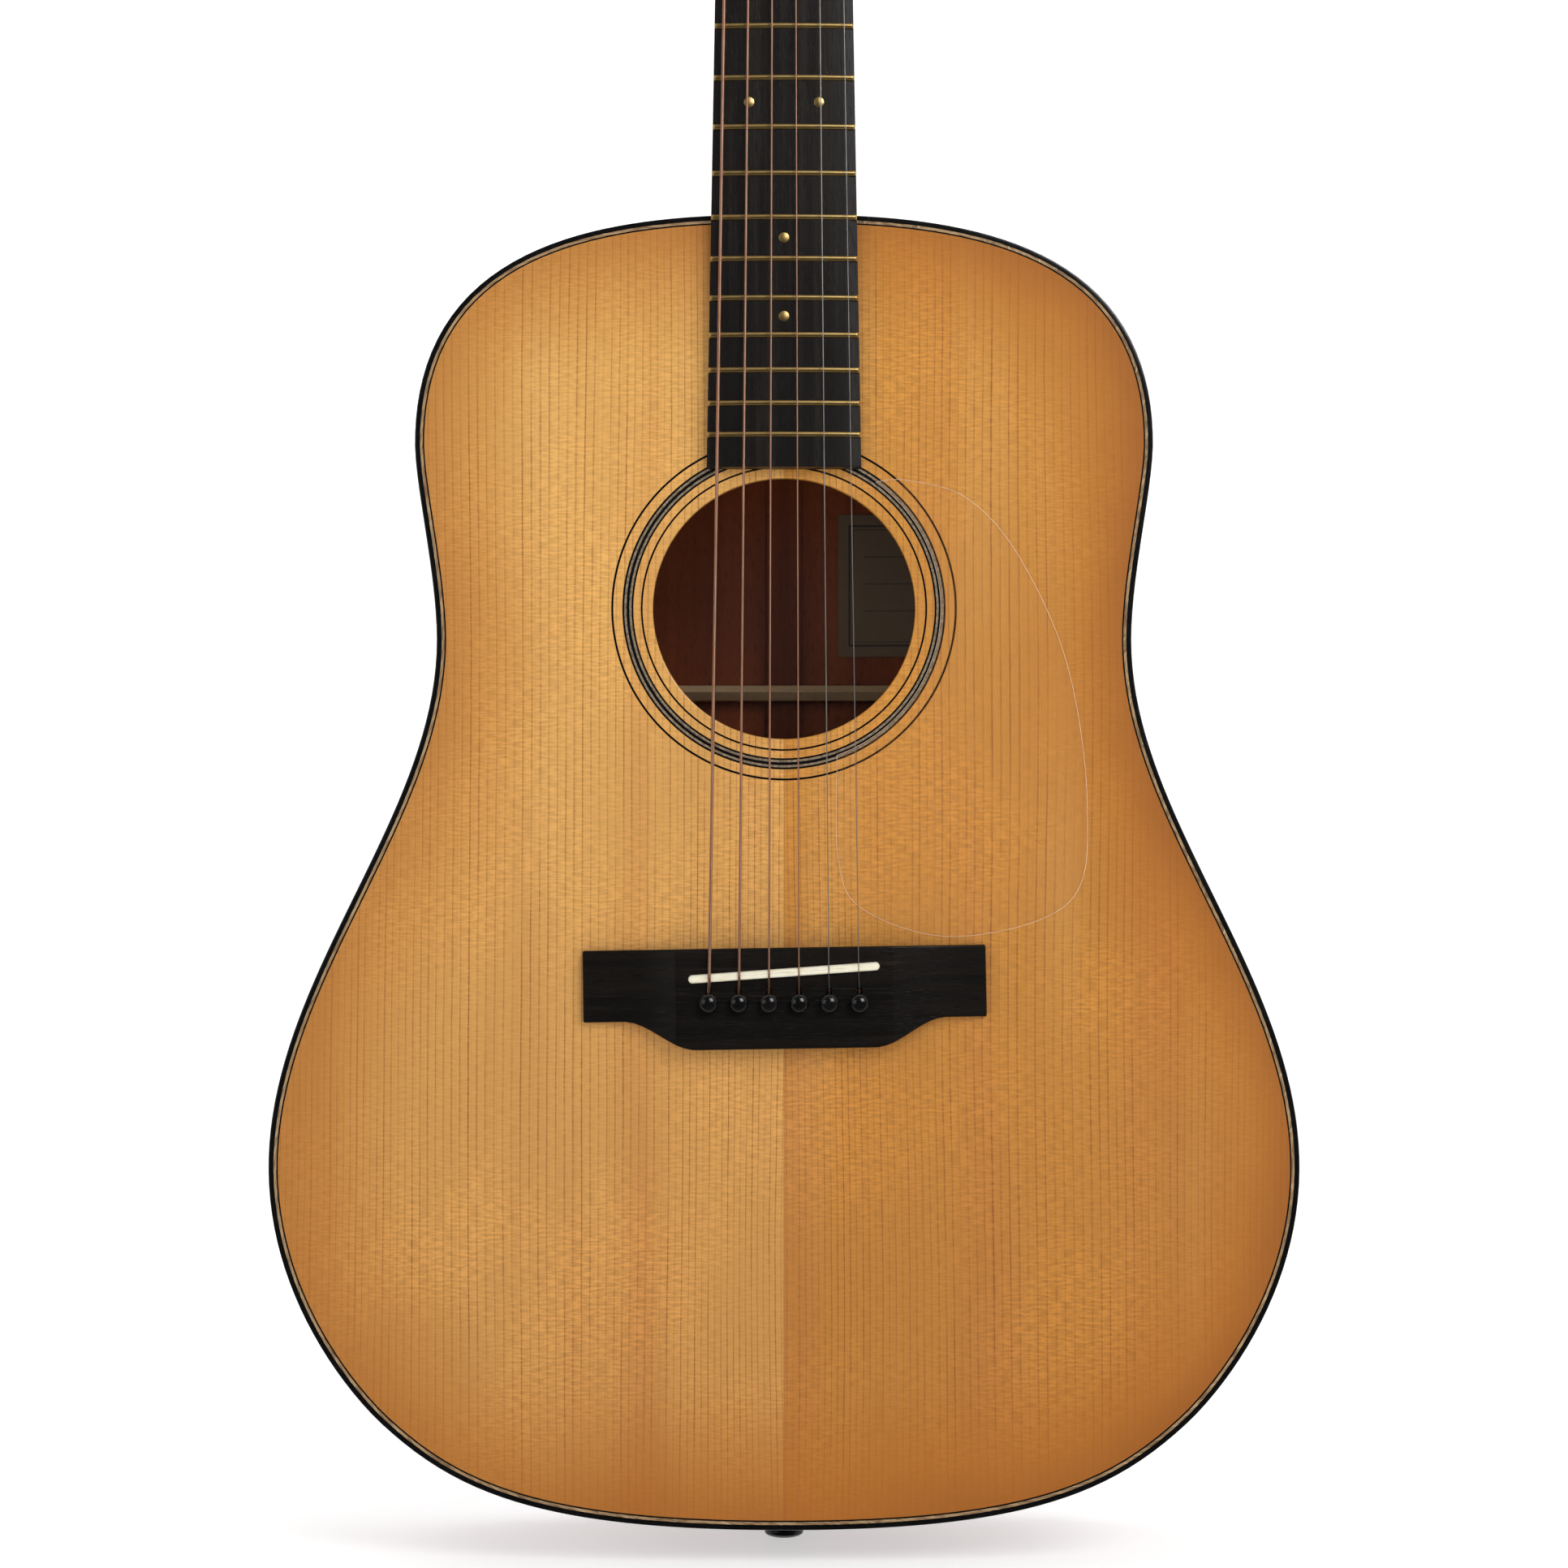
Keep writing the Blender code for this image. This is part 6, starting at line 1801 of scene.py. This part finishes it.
def make_posts():
    """Posts with a waist and a string hole, and the worm wheels that turn them."""
    top = HEAD_FACE + POST_HEIGHT
    profile = [
        (-GEAR_FRONT - 0.0002, POST_RADIUS),
        (top - 0.0085, POST_RADIUS),
        (top - 0.0078, POST_RADIUS * 0.94),
        (top - 0.0045, POST_RADIUS * 0.92),
        (top - 0.0022, POST_RADIUS * 0.94),
        (top - 0.0014, POST_RADIUS),
        (top - 0.0004, POST_RADIUS),
        (top, POST_RADIUS * 0.82),
    ]
    post = turned("post_pattern", profile, 32)
    drill = turned("string_hole", [(-0.01, 0.00085), (0.01, 0.00085)], 16)
    drill.data.transform(Matrix.Translation((0, 0, top - 0.0032)) @ Matrix.Rotation(math.pi / 2, 4, "Y"))
    cut(post, drill)
    post.data.transform(Matrix.Rotation(math.pi / 2, 4, "X"))
    teeth = []
    root = GEAR_RADIUS * 0.78
    flank = GEAR_RADIUS * 0.97
    tooth = ((-0.2, root), (-0.13, flank), (0, GEAR_RADIUS), (0.13, flank), (0.2, root), (0.5, root * 0.985))
    for i in range(GEAR_TEETH):
        for share, radius in tooth:
            angle = 2 * math.pi * (i + share) / GEAR_TEETH
            teeth.append((radius * math.cos(angle), radius * math.sin(angle)))
    back = GEAR_FRONT + GEAR_THICKNESS
    wheel = prism("wheel_pattern", teeth, GEAR_FRONT, back, 0.0001, 1)
    screw = screw_pattern(POST_RADIUS * 0.78, 0.0009)
    screw.data.transform(Matrix.Translation((0, back - 0.0001, 0)) @ Matrix.Rotation(-math.pi / 2, 4, "X"))
    for number, side, height in tuner_places():
        name = f"post_{number + 1}"
        place = HEAD @ Matrix.Translation((side * POST_X, 0, height))
        body = f"tuner_post_{number + 1}"
        finished(twin(post, f"{name}_capstan", place), nickel, body, "nickel", body)
        finished(twin(wheel, f"{name}_wheel", place), nickel, body, "nickel")
        finished(twin(screw, f"{name}_screw", place), nickel, body, "nickel")
    for pattern in (post, wheel, screw):
        bpy.data.objects.remove(pattern)


def make_worms():
    """Threaded shafts with moulded buttons."""
    inner = -EAR_SPREAD / 2 - EAR_THICKNESS / 2 - 0.0012
    collar = EAR_SPREAD / 2 + EAR_THICKNESS / 2 + 0.0002
    thread = EAR_SPREAD / 2 - EAR_THICKNESS / 2 - 0.0006
    pitch = sizes().thread_pitch
    sides = 20
    steps = 88
    rings = []

    def level(height, radius):
        rings.append([(x, y, height) for x, y in circle(radius, sides)])

    level(inner, WORM_RADIUS * 0.8)
    level(inner + 0.0003, WORM_RADIUS)
    level(-thread - 0.0003, WORM_RADIUS)
    for i in range(steps + 1):
        height = -thread + 2 * thread * i / steps
        fade = min(1, 4 * i / steps, 4 * (steps - i) / steps)
        ring = []
        for j in range(sides):
            angle = 2 * math.pi * j / sides
            wave = 0.5 + 0.5 * math.cos(2 * math.pi * height / pitch - angle)
            radius = WORM_RADIUS * (1 - 0.14 * fade) + fade * 0.0004 * ease(wave)
            ring.append((radius * math.cos(angle), radius * math.sin(angle), height))
        rings.append(ring)
    level(thread + 0.0003, WORM_RADIUS)
    level(collar, WORM_RADIUS)
    level(collar, COLLAR_RADIUS * 0.92)
    level(collar + 0.0003, COLLAR_RADIUS)
    level(collar + 0.0013, COLLAR_RADIUS)
    level(collar + 0.0016, COLLAR_RADIUS * 0.9)
    level(collar + 0.0016, WORM_RADIUS)
    level(KNOB_START + 0.001, WORM_RADIUS)
    shaft = skin("shaft_pattern", rings)
    tall, thin = KNOB_HALF_HEIGHT, KNOB_HALF_THICKNESS
    stub = WORM_RADIUS * 1.05
    profile = [(KNOB_START - 0.002, stub, stub), (KNOB_START - 0.0018, 0.0026, 0.0026)]
    profile += [(KNOB_START - 0.0004, 0.003, 0.0028), (KNOB_START + 0.0008, tall * 0.5, thin * 0.8)]
    for share, wide, deep in (
        (0.14, 0.74, 0.94),
        (0.22, 0.88, 1.0),
        (0.32, 0.97, 1.0),
        (0.44, 1.0, 0.98),
        (0.58, 0.99, 0.94),
        (0.7, 0.94, 0.9),
        (0.8, 0.86, 0.84),
        (0.88, 0.74, 0.76),
        (0.94, 0.58, 0.62),
        (0.98, 0.38, 0.42),
        (1.0, 0.12, 0.16),
    ):
        profile.append((KNOB_START + KNOB_LENGTH * share, tall * wide, thin * deep))
    button = turned("button_pattern", profile, 36)
    for number, side, height in tuner_places():
        turn = Matrix.Rotation(side * math.pi / 2, 4, "Y")
        place = HEAD @ Matrix.Translation((side * POST_X, WORM_Y, height + WORM_OFFSET)) @ turn
        body = f"tuner_knob_{number + 1}"
        node = f"tuner_worm_{number + 1}"
        finished(twin(shaft, f"worm_{number + 1}_shaft", place), nickel, body, "nickel", node, degrees=40)
        knob = twin(button, f"worm_{number + 1}_button", place)
        finished(knob, button_plastic, body, "knob_cream", degrees=60)
    for pattern in (shaft, button):
        bpy.data.objects.remove(pattern)


# ---------------------------------------------------------------- strings


def string_route(number, side, height):
    """From under the bridge plate, over saddle and nut, and round the tuner's post."""
    radius = STRING_DIAMETERS[number] / 2
    slot_x, slot_z = pin_x(number), PIN_Z + PIN_RADIUS + GAP + radius + 0.0002
    over_saddle = string_point(number, SADDLE_Z)
    over_saddle.z += math.tan(SADDLE_SLOPE) * over_saddle.x
    surface = GAP + BRIDGE_THICKNESS
    route = [Vector((slot_x, TOP_THICKNESS + 0.0065, slot_z)), Vector((slot_x, -surface + 0.001, slot_z))]
    route.append(Vector((slot_x, -surface, slot_z + 0.0003)))
    route.append(over_saddle + Vector((0, 0.0004, -SADDLE_WIDTH * 0.5)))
    route.append(over_saddle)
    route.append(string_point(number, 0))
    route.append(string_point(number, 0) + Vector((0, 0, NUT_THICKNESS)))
    start = HEAD.inverted() @ route[-1]
    mirrored = Vector((side * start.x, start.z))
    centre = Vector((POST_X, height))
    wrap = POST_RADIUS + 0.0001 + radius
    to_post = centre - mirrored
    line = math.atan2(to_post.y, to_post.x) + math.asin(wrap / to_post.length)
    contact = line + math.pi / 2
    climb = (2 * radius + 0.0001) / (2 * math.pi)
    steps = 32
    for i in range(int(WRAP_TURNS * steps) + 1):
        turned_by = 2 * math.pi * i / steps
        angle = contact - turned_by
        y = -HEAD_FACE - WRAP_BASE - radius - climb * turned_by
        x = side * (centre.x + wrap * math.cos(angle))
        route.append(HEAD @ Vector((x, y, centre.y + wrap * math.sin(angle))))
    return route


def make_strings():
    """Four strings wound with fine wire, two plain ones, and the ball at the end of each."""
    barrel = [(-0.0018, 0.0017), (-0.0015, 0.002), (0.0015, 0.002), (0.0018, 0.0017)]
    ball = turned("ball_pattern", barrel, 20)
    for number, side, height in tuner_places():
        route = string_route(number, side, height)
        full = STRING_DIAMETERS[number] / 2
        total = sum((b - a).length for a, b in zip(route, route[1:]))
        if number < WOUND_STRINGS:
            pitch = sizes().winding_pitch[number]
            step, sides = pitch / 3, 8
            groove = min(pitch * 0.22, full * 0.3)

            def radius(along, angle, pitch=pitch, groove=groove, full=full):
                return full - groove * (0.5 - 0.5 * math.cos(2 * math.pi * along / pitch - angle))

        else:
            step, sides = 0.0006, 10

            def radius(along, angle, full=full):
                return full

        path = evenly(route, int(total / step))
        name = f"string_line_{number + 1}"
        finish = bronze if number < WOUND_STRINGS else plain_steel
        slot = "bronze_winding" if number < WOUND_STRINGS else "steel"
        line = skin(name, tube_rings(path, radius, sides))
        finished(line, finish, "root", slot, f"string_{number + 1}", degrees=80)
        place = Matrix.Translation(route[0] + Vector((0, 0.0012, 0))) @ Matrix.Rotation(math.pi / 2, 4, "Y")
        finished(twin(ball, f"string_ball_{number + 1}", place), fret_brass, "root", "bronze_winding")
    bpy.data.objects.remove(ball)


# ---------------------------------------------------------------- studio


def make_stage():
    """A pale floor that curves up all round, soft lights and the camera."""
    studio = bpy.context.scene.studio
    far, curve, wall = 5.0, 1.4, 2.6
    profile = [(0.0, 0.05), (0.0, far - curve)]
    for i in range(1, 13):
        turn = math.pi / 2 * i / 12
        profile.append((curve * (1 - math.cos(turn)), far - curve + curve * math.sin(turn)))
    profile.append((wall, far))
    rings = [[(x, y, FLOOR + height) for x, y in circle(radius, 96)] for height, radius in profile]
    for height, radius in reversed(profile):
        rings.append([(x, y, FLOOR + height - 0.02) for x, y in circle(radius + 0.02, 96)])
    floor = skin("studio_floor", rings)
    smooth(floor, 40)
    coat(floor, studio_floor)
    floor.visible_glossy = False

    world = bpy.data.worlds.new("studio_world")
    world.use_nodes = True
    nodes, links = world.node_tree.nodes, world.node_tree.links
    way = nodes.new("ShaderNodeTexCoord")
    parts = nodes.new("ShaderNodeSeparateXYZ")
    links.new(way.outputs["Generated"], parts.inputs[0])
    shade = nodes.new("ShaderNodeMapRange")
    shade.interpolation_type = "SMOOTHSTEP"
    for socket, value in zip(list(shade.inputs)[1:5], (-0.7, 0.2, studio.sky * 0.05, studio.sky)):
        socket.default_value = value
    links.new(parts.outputs["Y"], shade.inputs[0])
    nodes["Background"].inputs["Color"].default_value = (1, 1, 1, 1)
    links.new(shade.outputs[0], nodes["Background"].inputs["Strength"])
    bpy.context.scene.world = world
    bpy.context.scene.view_settings.view_transform = "Standard"

    add_light("key", (1.6, -2.6, 1.4), (0, 0.02, -0.55), 1.8, studio.key)
    add_light("fill", (-2.3, -1.9, 0.2), (0, 0, -0.5), 1.8, studio.fill)
    add_light("rim", (-1.2, 2.2, 1.6), (0, 0.05, -0.4), 1.4, studio.fill * 2)
    add_light("back_fill", (1.6, 2.0, 0.6), (0, 0.05, -0.5), 1.6, studio.fill * 1.5)

    view = bpy.data.cameras.new("camera")
    view.lens = studio.lens
    view.clip_start = 0.02
    camera = bpy.data.objects.new("camera", view)
    camera.location = (0, -studio.camera_distance, studio.camera_height)
    camera.rotation_euler = (math.pi / 2 + studio.camera_tilt, 0, 0)
    bpy.context.scene.collection.objects.link(camera)
    bpy.context.scene.camera = camera


def add_light(name, place, aim, size, power):
    """A square soft light that faces a point."""
    lamp = bpy.data.lights.new(name, "AREA")
    lamp.shape = "SQUARE"
    lamp.size = size
    lamp.energy = power
    light = bpy.data.objects.new(name, lamp)
    light.location = place
    light.rotation_euler = (Vector(aim) - Vector(place)).to_track_quat("-Z", "Y").to_euler()
    bpy.context.scene.collection.objects.link(light)


# ---------------------------------------------------------------- operators


class BuildStage(bpy.types.Operator):
    """Add the floor, the lights and the camera"""

    bl_idname = "guitar.stage"
    bl_label = "Studio"

    def execute(self, context):
        make_stage()
        return {"FINISHED"}


class BuildSoundboard(bpy.types.Operator):
    """Add the soundboard and the rosette round its hole"""

    bl_idname = "guitar.soundboard"
    bl_label = "Soundboard"

    def execute(self, context):
        make_soundboard()
        make_rosette()
        return {"FINISHED"}


class BuildBindings(bpy.types.Operator):
    """Add the bindings, the purfling and its line"""

    bl_idname = "guitar.bindings"
    bl_label = "Bindings"

    def execute(self, context):
        make_bindings()
        return {"FINISHED"}


class BuildBack(bpy.types.Operator):
    """Add the back, the sides and the end graft"""

    bl_idname = "guitar.back"
    bl_label = "Back and Sides"

    def execute(self, context):
        make_back()
        make_sides()
        return {"FINISHED"}


class BuildInsides(bpy.types.Operator):
    """Finish the braces, blocks, linings and label"""

    bl_idname = "guitar.insides"
    bl_label = "Insides"

    def execute(self, context):
        make_insides()
        return {"FINISHED"}


class BuildBridge(bpy.types.Operator):
    """Add the bridge, its saddle and its pins"""

    bl_idname = "guitar.bridge"
    bl_label = "Bridge"

    def execute(self, context):
        make_bridge()
        make_pins()
        return {"FINISHED"}


class BuildPickguard(bpy.types.Operator):
    """Add the clear pickguard"""

    bl_idname = "guitar.pickguard"
    bl_label = "Pickguard"

    def execute(self, context):
        make_pickguard()
        return {"FINISHED"}


class BuildNeck(bpy.types.Operator):
    """Add the neck with its heel cap"""

    bl_idname = "guitar.neck"
    bl_label = "Neck"

    def execute(self, context):
        make_neck()
        return {"FINISHED"}


class BuildFingerboard(bpy.types.Operator):
    """Add the fingerboard, its frets, its dots and the nut"""

    bl_idname = "guitar.fingerboard"
    bl_label = "Fingerboard"

    def execute(self, context):
        make_fingerboard()
        make_nut()
        return {"FINISHED"}


class BuildHeadstock(bpy.types.Operator):
    """Add the headstock's overlay, the truss rod's cover and its nut"""

    bl_idname = "guitar.headstock"
    bl_label = "Headstock"

    def execute(self, context):
        make_headstock()
        return {"FINISHED"}


class BuildTuners(bpy.types.Operator):
    """Add the tuners' plates, posts, worms and buttons"""

    bl_idname = "guitar.tuners"
    bl_label = "Tuners"

    def execute(self, context):
        make_tuner_plates()
        make_posts()
        make_worms()
        return {"FINISHED"}


class BuildStrings(bpy.types.Operator):
    """Add the six strings"""

    bl_idname = "guitar.strings"
    bl_label = "Strings"

    def execute(self, context):
        make_strings()
        return {"FINISHED"}


class BuildEndPin(bpy.types.Operator):
    """Add the strap pin at the tail"""

    bl_idname = "guitar.end_pin"
    bl_label = "End Pin"

    def execute(self, context):
        make_end_pin()
        return {"FINISHED"}


BUILDERS = (
    BuildStage,
    BuildSoundboard,
    BuildBindings,
    BuildBack,
    BuildInsides,
    BuildBridge,
    BuildPickguard,
    BuildNeck,
    BuildFingerboard,
    BuildHeadstock,
    BuildTuners,
    BuildStrings,
    BuildEndPin,
)


class GuitarPanel(bpy.types.Panel):
    """Lists the guitar's pieces and their settings"""

    bl_idname = "VIEW3D_PT_guitar"
    bl_label = "Acoustic Guitar"
    bl_space_type = "VIEW_3D"
    bl_region_type = "UI"
    bl_category = "Guitar"

    def draw(self, context):
        for builder in BUILDERS:
            self.layout.operator(builder.bl_idname)
        for group in (context.scene.guitar_sizes, context.scene.guitar_colours, context.scene.studio):
            box = self.layout.box()
            for name in group.__annotations__:
                box.prop(group, name)


GROUPS = (("guitar_sizes", GuitarSizes), ("guitar_colours", GuitarColours), ("studio", StudioSettings))


def register():
    for name, group in GROUPS:
        bpy.utils.register_class(group)
        setattr(bpy.types.Scene, name, PointerProperty(type=group))
    for item in (*BUILDERS, GuitarPanel):
        bpy.utils.register_class(item)


def unregister():
    for item in reversed((*BUILDERS, GuitarPanel)):
        bpy.utils.unregister_class(item)
    for name, group in reversed(GROUPS):
        delattr(bpy.types.Scene, name)
        bpy.utils.unregister_class(group)


def main():
    register()
    bpy.ops.guitar.stage()
    bpy.ops.guitar.soundboard()
    bpy.ops.guitar.bindings()
    bpy.ops.guitar.back()
    bpy.ops.guitar.insides()
    bpy.ops.guitar.bridge()
    bpy.ops.guitar.pickguard()
    bpy.ops.guitar.neck()
    bpy.ops.guitar.fingerboard()
    bpy.ops.guitar.headstock()
    bpy.ops.guitar.tuners()
    bpy.ops.guitar.strings()
    bpy.ops.guitar.end_pin()


if __name__ == "__main__":
    main()
